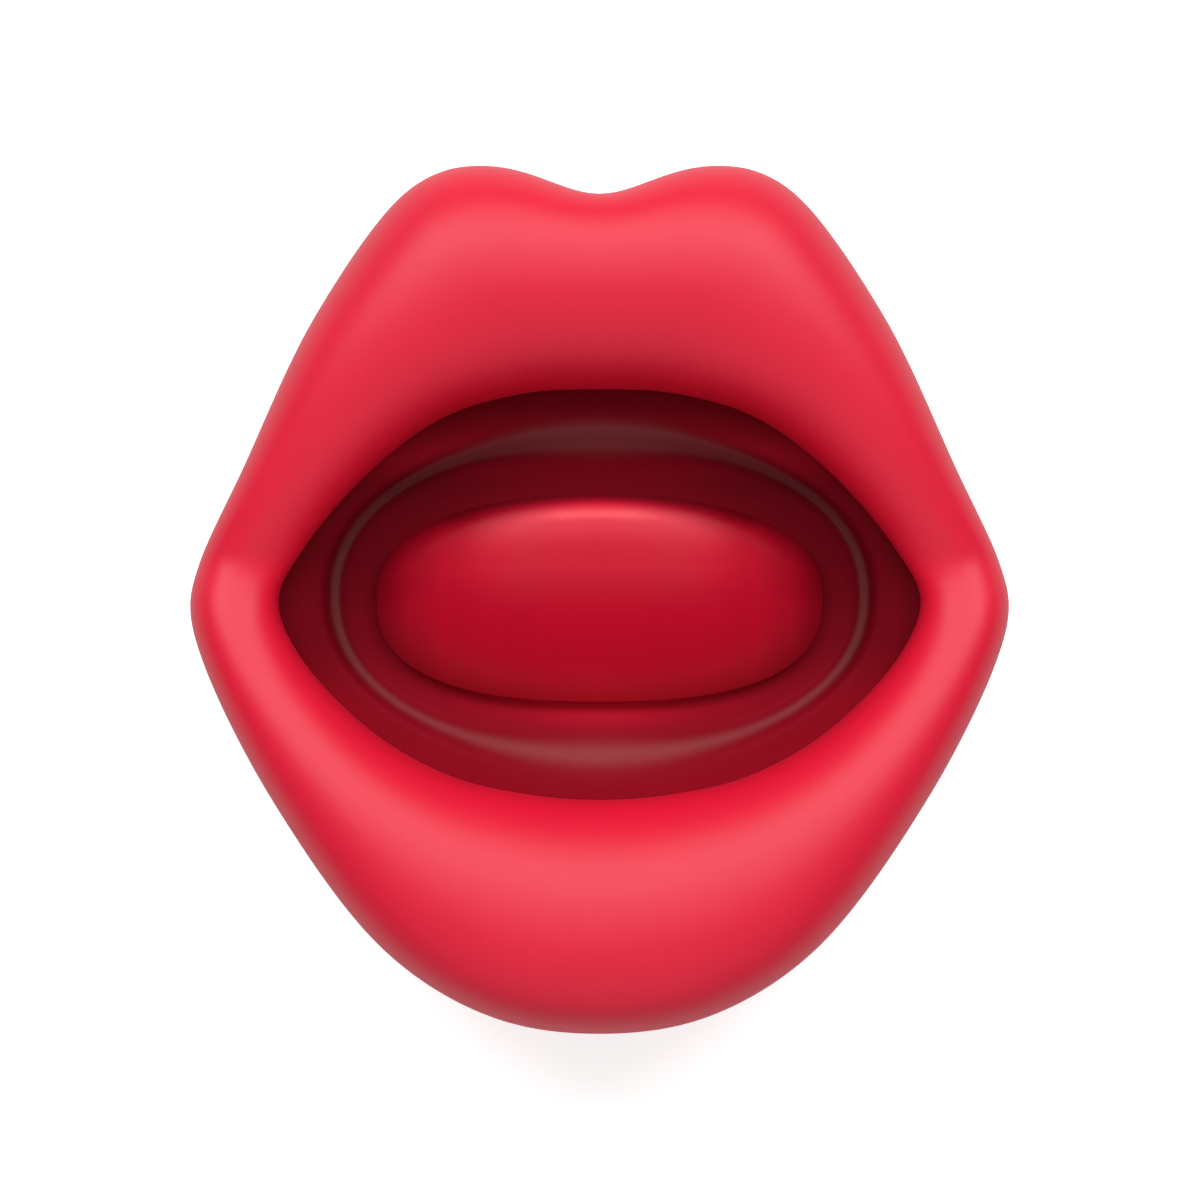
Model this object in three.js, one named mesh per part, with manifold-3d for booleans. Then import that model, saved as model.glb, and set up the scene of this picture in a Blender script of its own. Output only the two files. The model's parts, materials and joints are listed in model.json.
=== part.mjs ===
// A one-piece telephone in the shape of a pair of open lips, lying on its back as it does on a table.
// +Z points out of the mouth, +Y towards the upper lip and +X to the right. The origin is on the table,
// under the middle of the body. The works sit between the back cover and the lips. Sizes are millimetres.
import * as THREE from "three";
import { mergeVertices } from "three/addons/utils/BufferGeometryUtils.js";
import Module from "manifold-3d";

const wasm = await Module();
wasm.setup();

// Fits
const gap = 0.3; // between pieces that touch
const slidingGap = 0.4; // each side of a key, button or knob in its hole
const holeGap = 0.3; // each side of a screw, stud or pin in its hole

// Body
const bodyWidth = 184.2;
const bodyLength = 195.2;
const mouthWidth = 144.2;
const mouthLength = 92.2;
const mouthCentreY = 0.8;
const wall = 2.5;
const partingHeight = 24; // where the back cover meets the lips
const upperCrest = 62;
const lowerCrest = 64;
const cornerCrest = 43;
const creaseAt = 0.08; // sine of the crease's angle above the mouth's corner
const creaseSoftness = 0.04;
const bowDepth = 7.5; // of the dip in the middle of the upper lip's outline
const bowWidth = 0.178; // of that dip, as a cosine
const bowFade = 2.5; // how fast it dies out towards the crest
const mouthEdgeHeight = 36; // where a lip's inner side turns upright
const cornerCrestPlace = 0.47; // of the way from the outline to the mouth
const crestPlaceShift = 0.065; // farther in along the upper lip, and farther out along the lower
const crownPower = 1.9; // of the lips' curve across, where 2 is an ellipse
const flankPower = 5.5; // of its rise on the outer side
const flankPowerShift = 1; // less along the upper lip, and more along the lower
const innerPower = 3; // of its rise on the mouth's side
const footHeight = 3;
const backEdgeRadius = 9; // how far the back cover's round edge reaches in
const rimStep = 1.5; // locating lip on the back cover's rim
const rimStepHeight = 2;
const rimClearance = 0.7; // round the locating lip, where the lips' wall starts to lean in

// Mouth liner and tongue
const linerWall = 2;
const linerFlangeTop = 35;
const linerTuck = 2; // how far the flange reaches under the lips
const cupWidth = 120.6; // at the middle of the cup's steep wall
const cupLength = 71;
const cupCentreY = 0.5;
const cupPower = 2.15;
const cupShoulder = 4; // rounding at the top of that wall
const cupWallLean = 1; // how far the wall leans in below its middle, and out above it
const cupFloorTop = 24;
const cupFillet = 4;
const tongueWidth = 98;
const tongueLength = 45;
const tongueCentreY = -0.2;
const tonguePower = 2.2;
const tongueCrest = 40;
const tongueCrestY = 12.6; // from its middle, towards the upper lip
const tongueDrop = 8; // from the crest to the rim, at the two ends
const tongueDropShift = 3.4; // less at the upper rim, and more at the lower
const tongueEndRounding = 4; // how far the two ends round down below that
const tongueEndFrom = 0.75; // the share of the way to the rim at which they start
const tongueTravel = 3;
const tongueStemRadius = 5;
const tongueNeckRadius = 3.6;
const tongueRetainerHeight = 1.5;
const tongueRetainerRadius = 7;
const tongueSpringX = 28;
const tongueSpringRadius = 3.6;
const tonguePocketDepth = 3.8;
const tonguePegRadius = 2.6;
const wireRadius = 0.35;

// Keys
const keyWidth = 13;
const keyLength = 9.5;
const keyPitchX = 18;
const keyPitchY = 13.5;
const keypadCentreY = -5;
const keyTravel = 1.2;
const keyStand = 1.8; // how far a key stands out of the back
const keyChamfer = 0.6;
const keyFlange = 1.2;
const keyFlangeHeight = 1.2;
const featureKeyX = 11;
const featureKeyWidth = 17;
const featureKeyLength = 7.5;
const featureKeyDrop = 16.7; // below the last row
const matThickness = 1;
const matPipHeight = 0.5;
const matPipRadius = 2;
const matMargin = 1.6;
const boardThickness = 1.6;
const boardSide = 6.5; // beyond the outer keys
const boardMargin = 1;
const boardPinInset = { x: 2, y: 3 };

// Ear, mouthpiece and ringer
const receiverRadius = 18;
const receiverHeight = 9;
const receiverMagnetRadius = 13;
const earDishMargin = 1.5; // round the receiver
const earDishDepth = 1.2;
const earHoleRadius = 1.2;
const gasketHeight = 1.2;
const clampThickness = 1.5;
const clampWidth = 10;
const clampPostMargin = 5; // from the receiver
const clampPostRadius = 2.5;
const microphoneY = -69;
const microphoneRadius = 4.85;
const microphoneHeight = 6.5;
const bootWall = 1.5;
const microphoneHoleRadius = 0.9;
const ringerMargin = 1.9; // from the outer keys
const ringerY = -33;
const ringerRadius = 13.5;
const ringerHoleRadius = 1.1;
const collarWall = 1.5;

// Hook plunger
const hookY = 30;
const hookRadius = 4.5;
const hookTravel = 4;
const hookClearance = 0.2; // left above the table with the plunger pressed in
const hookFlangeRadius = 6.5;
const hookFlangeHeight = 1.2;
const hookStemRadius = 2;
const hookGuideHeight = 2;
const hookSpringRadius = 3.2;
const hookSpringHeight = 4.2;
const hookSwitchHeight = 4;
const hookSwitchWidth = 27;
const hookPostX = 10.5;

// Slide switches, line jack, feet, screws and weights
const switchX = 22;
const switchY = -59.5;
const switchTravel = 3;
const switchWidth = 14.6;
const switchLength = 8;
const switchHeight = 6;
const knobWidth = 4;
const knobLength = 3.4;
const knobStand = 0.8;
const knobPlate = 0.8;
const jackWidth = 13.4;
const jackDepth = 15.8;
const jackRise = 2.5; // above the back cover's floor
const jackSocketWidth = 9.8;
const jackSocketHeight = 7.4;
const jackSocketDepth = 11.5;
const jackPadMargin = 4.5; // from the inside of the wall to the pad that the jack stands on
const footRadius = 5.5;
const footStudRadius = 1.8;
const upperFoot = { x: 33, y: 70 };
const lowerFoot = { x: 40, y: -70 };
const screwHeadRadius = 3.5;
const screwHeadHeight = 2.4;
const screwRadius = 1.6;
const screwSink = 0.4;
const screwGrip = 11; // how far a case screw reaches into the lips
const caseBossRadius = 5.2;
const lipPostRadius = 3.8;
const ballastScrewMargin = 7.8; // from the bosses of the middle case screws
const ballastLength = 44;
const ballastHeight = 7;
const ballastMargin = 3; // from the board
const ballastY = 8;

// Each outline's right half from top to bottom, as shares of its half width and half length. The lips'
// outline is the arch over the dip in the upper lip.
const lipsOutline = [
  [0, 1.0062], [0.271, 1.0062], [0.392, 0.982], [0.494, 0.917], [0.698, 0.644], [0.872, 0.297],
  [0.979, 0.078], [1, -0.019], [0.97, -0.142], [0.796, -0.467], [0.517, -0.815], [0.261, -0.962], [0, -1],
];
const mouthOutline = [
  [0, 1], [0.236, 0.98], [0.48, 0.868], [0.707, 0.612], [0.92, 0.228], [1, -0.026],
  [0.94, -0.284], [0.709, -0.666], [0.462, -0.885], [0.221, -0.974], [0, -1],
];

// Levels, from the table up
const backFace = footHeight;
const floorTop = backFace + wall;
const flangeLow = floorTop + gap;
const flangeHigh = flangeLow + keyFlangeHeight;
const pipLow = flangeHigh + keyTravel + gap;
const matLow = pipLow + matPipHeight;
const boardLow = matLow + matThickness + gap;
const boardTop = boardLow + boardThickness;
const onBoard = boardTop + gap;
const cupFloorLow = cupFloorTop - linerWall;
const lipsLow = partingHeight + gap;
const tongueLow = cupFloorTop + tongueTravel + gap;
const keypadTop = keypadCentreY + 1.5 * keyPitchY + keyLength / 2;
const featureKeyY = keypadCentreY - 1.5 * keyPitchY - featureKeyDrop;
const boardEnds = { top: keypadTop + keyFlange + 1.6, bottom: featureKeyY - featureKeyLength / 2 - 5.3 };
const boardWidth = 2 * (keyPitchX + boardSide) + keyWidth;
const earDishRadius = receiverRadius + earDishMargin;
const clampPostX = receiverRadius + clampPostMargin;
const ringerCollar = ringerRadius + 0.4;
const ringerX = keyPitchX + keyWidth / 2 + keyFlange + ringerMargin + ringerCollar + collarWall;
const receiverY = (bodyLength / 2) * lipsOutline[0][1] - bowDepth - backEdgeRadius - earDishRadius - 0.2;
const jackBottom = floorTop + jackRise;
const jackHeight = partingHeight - gap - jackBottom;

const meshes = [];

function colour(hex, roughness, metalness = 0) {
  return () => new THREE.MeshStandardMaterial({ color: hex, roughness, metalness });
}

const looks = {
  lips: colour(0xd62a45, 0.42),
  liner: colour(0x7c0c1e, 0.45),
  tongue: colour(0xc81f3b, 0.4),
  cover: colour(0xb81c36, 0.5),
  keys: colour(0xf3ede3, 0.45),
  rubber: colour(0x26262a, 0.9),
  mat: colour(0x8f9297, 0.85),
  board: colour(0x2f6a3a, 0.6),
  black: colour(0x17171a, 0.5),
  steel: colour(0xb9bcc2, 0.35, 1),
  brass: colour(0xc8a24a, 0.35, 1),
  iron: colour(0x4b4c50, 0.6, 1),
  lead: colour(0xa3272f, 0.6),
};

// ---- Geometry helpers ----

// Adds a node, as geometry or as a manifold solid.
function node(name, shape, look) {
  const mesh = new THREE.Mesh(shape.isBufferGeometry ? shape : geometryOf(shape), looks[look]());
  mesh.name = name;
  meshes.push(mesh);
}

function solid(geometry) {
  const bare = geometry.clone();
  bare.deleteAttribute("normal");
  bare.deleteAttribute("uv");
  const merged = mergeVertices(bare, 1e-4);
  return new wasm.Manifold(
    new wasm.Mesh({
      numProp: 3,
      vertProperties: merged.attributes.position.array,
      triVerts: new Uint32Array(merged.index.array),
    }),
  );
}

function geometryOf(made) {
  const mesh = made.getMesh();
  const geometry = new THREE.BufferGeometry();
  geometry.setAttribute("position", new THREE.BufferAttribute(mesh.vertProperties, 3));
  geometry.setIndex(new THREE.BufferAttribute(mesh.triVerts, 1));
  geometry.computeVertexNormals();
  return geometry;
}

function join(...pieces) {
  return pieces.reduce((sum, piece) => sum.add(piece));
}

function cut(from, ...pieces) {
  return pieces.reduce((rest, piece) => rest.subtract(piece), from);
}

function block(x0, x1, y0, y1, z0, z1) {
  const box = new THREE.BoxGeometry(x1 - x0, y1 - y0, z1 - z0);
  return solid(box.translate((x0 + x1) / 2, (y0 + y1) / 2, (z0 + z1) / 2));
}

// A block centred on x and y
function slab(x, y, width, length, z0, z1) {
  return block(x - width / 2, x + width / 2, y - length / 2, y + length / 2, z0, z1);
}

// A solid turned about an upright axis at x, y. The profile is [radius, height] points.
function turned(profile, x, y, sides = 16) {
  const points = profile.map(([radius, height]) => new THREE.Vector2(radius, height));
  return solid(new THREE.LatheGeometry(points, sides).rotateX(Math.PI / 2).translate(x, y, 0));
}

function disc(radius, z0, z1, x, y, sides = 16) {
  return turned([[0, z0], [radius, z0], [radius, z1], [0, z1]], x, y, sides);
}

function tube(outer, inner, z0, z1, x, y, sides = 20) {
  return turned([[inner, z0], [outer, z0], [outer, z1], [inner, z1], [inner, z0]], x, y, sides);
}

// A ring of points: a rectangle with cut corners
function cutRectangle(x, y, width, length, corner, z) {
  const [w, l] = [width / 2, length / 2];
  const [u, v] = [w - corner, l - corner];
  const corners = [[w, -v], [w, v], [u, l], [-u, l], [-w, v], [-w, -v], [-u, -l], [u, -l]];
  return corners.map(([dx, dy]) => [x + dx, y + dy, z]);
}

// A closed solid through rings of equally many points. A hollow one joins its last ring to its first,
// and any other is closed by a fan at each end.
function loft(rings, hollow) {
  const count = rings[0].length;
  const points = rings.flat();
  const faces = [];
  const bands = hollow ? rings.length : rings.length - 1;
  for (let band = 0; band < bands; band++) {
    const here = band * count;
    const there = ((band + 1) % rings.length) * count;
    for (let i = 0; i < count; i++) {
      const j = (i + 1) % count;
      faces.push([here + i, here + j, there + j], [here + i, there + j, there + i]);
    }
  }
  if (!hollow) {
    faces.push(...fan(points, 0, count, true));
    faces.push(...fan(points, (rings.length - 1) * count, count, false));
  }
  return solid(facing(points, faces));
}

// Closes one ring with a fan about its middle
function fan(points, start, count, first) {
  const ring = points.slice(start, start + count);
  const middle = [0, 1, 2].map((axis) => ring.reduce((sum, p) => sum + p[axis], 0) / count);
  const centre = points.push(middle) - 1;
  return ring.map((_, i) => {
    const edge = [start + i, start + ((i + 1) % count)];
    return first ? [centre, edge[1], edge[0]] : [centre, edge[0], edge[1]];
  });
}

// An indexed geometry whose faces point outwards
function facing(points, faces) {
  const [a, b, c] = [new THREE.Vector3(), new THREE.Vector3(), new THREE.Vector3()];
  const volume = faces.reduce((sum, [i, j, k]) => {
    a.fromArray(points[i]);
    b.fromArray(points[j]);
    c.fromArray(points[k]);
    return sum + a.dot(b.cross(c));
  }, 0);
  const turnedFaces = volume < 0 ? faces.map(([i, j, k]) => [i, k, j]) : faces;
  const geometry = new THREE.BufferGeometry();
  geometry.setAttribute("position", new THREE.Float32BufferAttribute(points.flat(), 3));
  return geometry.setIndex(turnedFaces.flat());
}

// A round rod along a curve
function rod(curve, radius, steps, sides) {
  const section = Array.from({ length: sides }, (_, i) => {
    const turn = (i / sides) * 2 * Math.PI;
    return new THREE.Vector2(radius * Math.cos(turn), radius * Math.sin(turn));
  });
  const options = { steps, extrudePath: curve, bevelEnabled: false };
  return solid(new THREE.ExtrudeGeometry(new THREE.Shape(section), options));
}

class Helix extends THREE.Curve {
  constructor(radius, turns, z0, z1, x, y) {
    super();
    Object.assign(this, { radius, turns, z0, z1, x, y });
  }
  getPoint(t, target = new THREE.Vector3()) {
    const turn = t * this.turns * 2 * Math.PI;
    const [dx, dy] = [this.radius * Math.cos(turn), this.radius * Math.sin(turn)];
    return target.set(this.x + dx, this.y + dy, this.z0 + (this.z1 - this.z0) * t);
  }
}

// A compression spring that stands between two levels
function spring(radius, turns, z0, z1, x, y) {
  const helix = new Helix(radius, turns, z0 + wireRadius + 0.1, z1 - wireRadius - 0.1, x, y);
  return rod(helix, wireRadius, turns * 8, 5);
}

// ---- Outlines ----

const outlineSamples = 720;

// The closed curve of an outline, grown outwards by some distance. Its method gives the point on a ray
// from the middle of the mouth.
function outline(shares, width, length, centreY, grow) {
  const half = shares.map(([x, y]) => {
    return new THREE.Vector3(x * (width / 2 + grow), centreY + y * (length / 2 + grow), 0);
  });
  const left = half.slice(1, -1).reverse().map((p) => new THREE.Vector3(-p.x, p.y, 0));
  const curve = new THREE.CatmullRomCurve3([...half, ...left], true, "centripetal");
  const samples = curve.getPoints(outlineSamples).map((p) => [p.x, p.y - mouthCentreY]);
  return (angle) => {
    const ray = [Math.cos(angle), Math.sin(angle)];
    const side = ([x, y]) => ray[0] * y - ray[1] * x;
    const ahead = ([x, y]) => ray[0] * x + ray[1] * y > 0;
    for (let i = 0; i < outlineSamples; i++) {
      const [p, q] = [samples[i], samples[i + 1]];
      if (side(p) >= 0 && side(q) < 0 && ahead(p)) {
        const share = side(p) / (side(p) - side(q));
        return [p[0] + (q[0] - p[0]) * share, mouthCentreY + p[1] + (q[1] - p[1]) * share];
      }
    }
    throw new Error("the outline doesn't go round the mouth");
  };
}

// The lips' outline, with some share of the dip in its upper lip
function lipsEdge(grow, dipShare = 1) {
  const arch = outline(lipsOutline, bodyWidth, bodyLength, 0, grow);
  return (angle) => {
    const [c, s] = [Math.cos(angle), Math.sin(angle)];
    const dip = s > 0 ? dipShare * bowDepth * Math.exp(-((c / bowWidth) ** 2)) : 0;
    const [x, y] = arch(angle);
    return [x - dip * c, y - dip * s];
  };
}

const mouthEdge = (grow) => outline(mouthOutline, mouthWidth, mouthLength, mouthCentreY, grow);

// The same for a rounded oval, where a power of 2 is an ellipse
function oval(width, length, centreY, power, grow) {
  const [a, b] = [width / 2 + grow, length / 2 + grow];
  return (angle) => {
    const [c, s] = [Math.cos(angle), Math.sin(angle)];
    const radius = (Math.abs(c / a) ** power + Math.abs(s / b) ** power) ** (-1 / power);
    return [radius * c, centreY + radius * s];
  };
}

const cupWall = (grow) => oval(cupWidth, cupLength, cupCentreY, cupPower, grow);
const circle = (radius) => oval(2 * radius, 2 * radius, tongueCentreY, 2, 0);

// A ring of points at one level, or at a level that depends on the angle
function ringOf(curve, height, count) {
  return Array.from({ length: count }, (_, i) => {
    const angle = (i / count) * 2 * Math.PI;
    const [x, y] = curve(angle);
    return [x, y, typeof height === "function" ? height(angle) : height];
  });
}

// ---- Lips ----

const lipSteps = 48;

// How high the lips stand round the mouth, lowest at a crease just above each corner
function crestHeight(angle) {
  const s = Math.sin(angle);
  const above = s > creaseAt;
  const reach = above ? 1 - creaseAt : 1 + creaseAt;
  const along = Math.hypot((s - creaseAt) / reach, creaseSoftness);
  return cornerCrest + ((above ? upperCrest : lowerCrest) - cornerCrest) * Math.min(along, 1) ** 0.75;
}

// One ring of the lips' skin. The turn goes from 0 at the outline, over the crest, to pi at the mouth.
function skinRing(turn, inset) {
  const before = turn < Math.PI / 2;
  const out = Math.abs(Math.cos(turn)) ** (2 / crownPower); // 1 at either edge and 0 on the crest
  const up = Math.max(Math.sin(turn), 0);
  const outer = lipsEdge(-inset, before ? out ** bowFade : 0);
  const inner = mouthEdge(inset);
  const base = before ? lipsLow : mouthEdgeHeight;
  const across = (angle) => {
    const place = cornerCrestPlace + crestPlaceShift * Math.sin(angle);
    const share = before ? place * (1 - out) : place + (1 - place) * out;
    const [p, q] = [outer(angle), inner(angle)];
    return [p[0] + (q[0] - p[0]) * share, p[1] + (q[1] - p[1]) * share];
  };
  const height = (angle) => {
    const power = before ? flankPower - flankPowerShift * Math.sin(angle) : innerPower;
    return base + (crestHeight(angle) - inset - base) * up ** (2 / power);
  };
  return ringOf(across, height, lipSteps);
}

function skin(steps, inset) {
  return Array.from({ length: steps + 1 }, (_, i) => skinRing((i / steps) * Math.PI, inset));
}

// The six case screws, each on a ray from the mouth and part of the way from the mouth to the outline
const caseScrews = [];
for (const [name, degrees, share] of [["upper", 49, 0.5], ["middle", 0, 0.35], ["lower", -48, 0.57]]) {
  const angle = THREE.MathUtils.degToRad(degrees);
  const [p, q] = [mouthEdge(0)(angle), lipsEdge(0)(angle)];
  const [x, y] = [p[0] + (q[0] - p[0]) * share, p[1] + (q[1] - p[1]) * share];
  caseScrews.push({ name: name + "_right", x, y }, { name: name + "_left", x: -x, y });
}

// The ballast bars lie between the board and the middle screws
const middleScrew = caseScrews.find(({ name }) => name === "middle_right");
const ballastInner = boardWidth / 2 + ballastMargin;
const ballastWidth = middleScrew.x - caseBossRadius - ballastScrewMargin - ballastInner;
const ballastX = ballastInner + ballastWidth / 2;

function addLips() {
  const low = linerFlangeTop + gap;
  const edge = ringOf(mouthEdge(0), low, lipSteps);
  const innerEdge = ringOf(mouthEdge(wall), low, lipSteps);
  const shell = loft([...skin(12, 0), edge, innerEdge, ...skin(8, wall).reverse()], true);
  const filledLow = ringOf(mouthEdge(wall / 2), lipsLow, lipSteps);
  const filled = loft([...skin(12, wall / 2), filledLow], true);
  const posts = caseScrews.map(({ x, y }) => disc(lipPostRadius, lipsLow, lowerCrest, x, y, 12));
  const bores = caseScrews.map(({ x, y }) => {
    return disc(screwRadius + holeGap, lipsLow - 1, lipsLow + screwGrip, x, y, 8);
  });
  const body = join(shell, ...posts.map((post) => post.intersect(filled)));
  node("lips_shell", cut(body, ...bores), "lips");
}

// ---- Mouth liner and tongue ----

function addLiner() {
  const count = 48;
  const flangeLowest = linerFlangeTop - linerWall;
  const hole = circle(tongueStemRadius + slidingGap);
  const lean = cupWallLean;
  const section = [
    [hole, cupFloorLow],
    [cupWall(linerWall - lean - cupFillet), cupFloorLow],
    [cupWall(linerWall - lean), cupFloorLow + cupFillet],
    [cupWall(linerWall + lean), flangeLowest - cupShoulder],
    [cupWall(linerWall + lean + cupShoulder), flangeLowest],
    [mouthEdge(linerTuck), flangeLowest],
    [mouthEdge(linerTuck), linerFlangeTop],
    [cupWall(lean + cupShoulder), linerFlangeTop],
    [cupWall(lean + cupShoulder * 0.25), linerFlangeTop - cupShoulder * 0.15],
    [cupWall(lean), linerFlangeTop - cupShoulder],
    [cupWall(-lean), cupFloorTop + cupFillet],
    [cupWall(-lean - cupFillet * 0.25), cupFloorTop + cupFillet * 0.25],
    [cupWall(-lean - cupFillet), cupFloorTop],
    [hole, cupFloorTop],
  ];
  const cup = loft(section.map(([curve, height]) => ringOf(curve, height, count)), true);
  const pegTop = tongueLow + 2;
  const pegs = [-1, 1].map((side) => {
    const x = side * tongueSpringX;
    return disc(tonguePegRadius, cupFloorTop - 1, pegTop, x, tongueCentreY, 10);
  });
  node("mouth_liner", join(cup, ...pegs), "liner");
}

// The domed pad, smaller all round by an inset, closed at its lowest level. Its crest lies towards the
// upper lip, and it falls away to the lower lip.
function pad(inset, low) {
  const count = 40;
  const curve = (share) => {
    const [width, length] = [tongueWidth - 2 * inset, tongueLength - 2 * inset];
    const centreY = tongueCentreY + (1 - share) * tongueCrestY;
    return oval(width * share, length * share, centreY, tonguePower, 0);
  };
  const height = (share) => (angle) => {
    const drop = (tongueDrop - tongueDropShift * Math.sin(angle)) * share ** 2;
    const ending = Math.max(share - tongueEndFrom, 0) / (1 - tongueEndFrom);
    const rounding = tongueEndRounding * Math.cos(angle) ** 2 * ending ** 3;
    return Math.max(tongueCrest - inset - drop - rounding, low + gap);
  };
  const shares = [1, 0.95, 0.88, 0.78, 0.6, 0.4, 0.2];
  const rings = shares.map((share) => ringOf(curve(share), height(share), count));
  return loft([ringOf(curve(1), low, count), ...rings], false);
}

function addTongue() {
  const cupLow = tongueLow + 2;
  const pocketTop = cupLow + tonguePocketDepth;
  const stemLow = cupFloorLow - gap - tongueRetainerHeight - 0.7;
  const grooveLow = stemLow + 0.4;
  const grooveHigh = cupFloorLow + 0.2;
  const stem = turned(
    [
      [0, stemLow],
      [tongueStemRadius, stemLow],
      [tongueStemRadius, grooveLow],
      [tongueNeckRadius, grooveLow],
      [tongueNeckRadius, grooveHigh],
      [tongueStemRadius, grooveHigh],
      [tongueStemRadius, tongueCrest],
      [0, tongueCrest],
    ],
    0,
    tongueCentreY,
  );
  const springs = [["left", -tongueSpringX], ["right", tongueSpringX]];
  const cups = springs.map(([, x]) => {
    return disc(tongueSpringRadius + 2.6, cupLow, tongueCrest, x, tongueCentreY, 12);
  });
  const pockets = springs.map(([, x]) => {
    return disc(tongueSpringRadius + wireRadius + 0.6, cupLow - 1, pocketTop, x, tongueCentreY, 12);
  });
  const shell = cut(pad(0, tongueLow), pad(wall, tongueLow - 1));
  const filled = pad(wall / 2, stemLow - 1);
  const inside = [stem, ...cups].map((piece) => piece.intersect(filled));
  node("tongue_button", cut(join(shell, ...inside), ...pockets), "tongue");
  for (const [side, x] of springs) {
    const coil = spring(tongueSpringRadius, 5, cupFloorTop, pocketTop, x, tongueCentreY);
    node("tongue_spring_" + side, coil, "steel");
  }
  const clipLow = grooveLow + (grooveHigh - grooveLow - tongueRetainerHeight) / 2;
  const clip = [tongueRetainerRadius, tongueNeckRadius + gap, clipLow, clipLow + tongueRetainerHeight];
  const slot = [0, tongueRetainerRadius + 1, tongueCentreY - 3, tongueCentreY + 3, clipLow - 1, cupFloorLow];
  node("tongue_retainer", cut(tube(...clip, 0, tongueCentreY), block(...slot)), "steel");
  const pressed = stemLow - tongueTravel;
  const bodyTop = pressed - 1.2;
  const contact = join(
    slab(0, tongueCentreY, 6.2, 6.2, onBoard, bodyTop),
    disc(1.7, bodyTop - 1, pressed - 0.2, 0, tongueCentreY, 10),
  );
  node("tongue_switch", contact, "black");
}

// ---- Keypad ----

const keys = [];
const rows = [["1", "2", "3"], ["4", "5", "6"], ["7", "8", "9"], ["star", "0", "hash"]];
rows.forEach((row, r) => {
  row.forEach((label, c) => {
    // seen from below, the first column is at +X
    const x = (1 - c) * keyPitchX;
    const y = keypadCentreY + (1.5 - r) * keyPitchY;
    keys.push({ name: "key_" + label, x, y, width: keyWidth, length: keyLength, look: "keys" });
  });
});
for (const [name, x] of [["redial_key", featureKeyX], ["flash_key", -featureKeyX]]) {
  keys.push({ name, x, y: featureKeyY, width: featureKeyWidth, length: featureKeyLength, look: "mat" });
}

function addKeys() {
  for (const { name, x, y, width, length, look } of keys) {
    const face = backFace - keyStand;
    const corner = 1.5;
    const wide = [width + 2 * keyFlange, length + 2 * keyFlange];
    const rings = [
      cutRectangle(x, y, width - 2 * keyChamfer, length - 2 * keyChamfer, corner, face),
      cutRectangle(x, y, width, length, corner, face + keyChamfer),
      cutRectangle(x, y, width, length, corner, flangeLow),
      cutRectangle(x, y, ...wide, corner, flangeLow),
      cutRectangle(x, y, ...wide, corner, flangeHigh),
    ];
    node(name, loft(rings, false), look);
  }
}

function addKeypadWorks() {
  const halfWidth = keyPitchX + keyWidth / 2 + matMargin;
  const top = boardEnds.top - boardMargin;
  const bottom = boardEnds.bottom + boardMargin;
  const sheet = block(-halfWidth, halfWidth, bottom, top, matLow, matLow + matThickness);
  const pips = keys.map(({ x, y }) => disc(matPipRadius, pipLow, matLow + 0.2, x, y, 8));
  node("keypad_mat", join(sheet, ...pips), "mat");
  const half = boardWidth / 2;
  const board = block(-half, half, boardEnds.bottom, boardEnds.top, boardLow, boardTop);
  const pinHoles = boardPins.map(([x, y]) => disc(1 + holeGap, boardLow - 1, boardTop + 1, x, y, 8));
  node("main_board", cut(board, ...pinHoles), "board");
  node("dialler_chip", slab(-14, -18, 6.4, 23, onBoard, onBoard + 3.3), "black");
  const core = slab(16, -22, 16, 14, onBoard, onBoard + 8.6);
  const bobbin = slab(16, -22, 12, 19, onBoard + 1, onBoard + 7.6);
  node("line_transformer", join(core, bobbin), "iron");
  const can = new THREE.CylinderGeometry(4, 4, 14, 14).translate(-18, 9, onBoard + 4);
  node("filter_capacitor", solid(can), "black");
}

// Where the back cover's pins hold the board
const boardPins = [];
for (const x of [-1, 1]) {
  for (const y of [boardEnds.top - boardPinInset.y, boardEnds.bottom + boardPinInset.y]) {
    boardPins.push([x * (boardWidth / 2 - boardPinInset.x), y]);
  }
}

// ---- Ear, mouthpiece and ringer ----

const gasketLow = floorTop + earDishDepth + gap;
const receiverLow = gasketLow + gasketHeight + gap;
const receiverTop = receiverLow + receiverHeight;
const clampLow = receiverTop + gap;
const clampTop = clampLow + clampThickness;

function addReceiver() {
  const outer = receiverRadius - 1;
  const gasket = tube(outer, outer - 3.5, gasketLow, gasketLow + gasketHeight, 0, receiverY);
  node("receiver_gasket", gasket, "rubber");
  const profile = [
    [0, receiverLow],
    [receiverRadius, receiverLow],
    [receiverRadius, receiverLow + 4.5],
    [receiverMagnetRadius, receiverLow + 5.1],
    [receiverMagnetRadius, receiverTop],
    [0, receiverTop],
  ];
  node("receiver", turned(profile, 0, receiverY, 20), "black");
  const ends = [-clampPostX, clampPostX];
  const strap = slab(0, receiverY, 2 * clampPostX, clampWidth, clampLow, clampTop);
  const rounds = ends.map((x) => disc(clampWidth / 2, clampLow, clampTop, x, receiverY, 12));
  const bores = ends.map((x) => disc(1.1 + holeGap, clampLow - 1, clampTop + 1, x, receiverY, 8));
  node("receiver_clamp", cut(join(strap, ...rounds), ...bores), "steel");
  for (const [side, x] of [["left", -clampPostX], ["right", clampPostX]]) {
    const head = clampTop + gap;
    const [tip, top] = [head - 8, head + 1.6];
    const screw = [[0, tip], [1.1, tip], [1.1, head], [2.5, head], [2.5, top], [0, top]];
    node("clamp_screw_" + side, turned(screw, x, receiverY, 10), "steel");
  }
}

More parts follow.
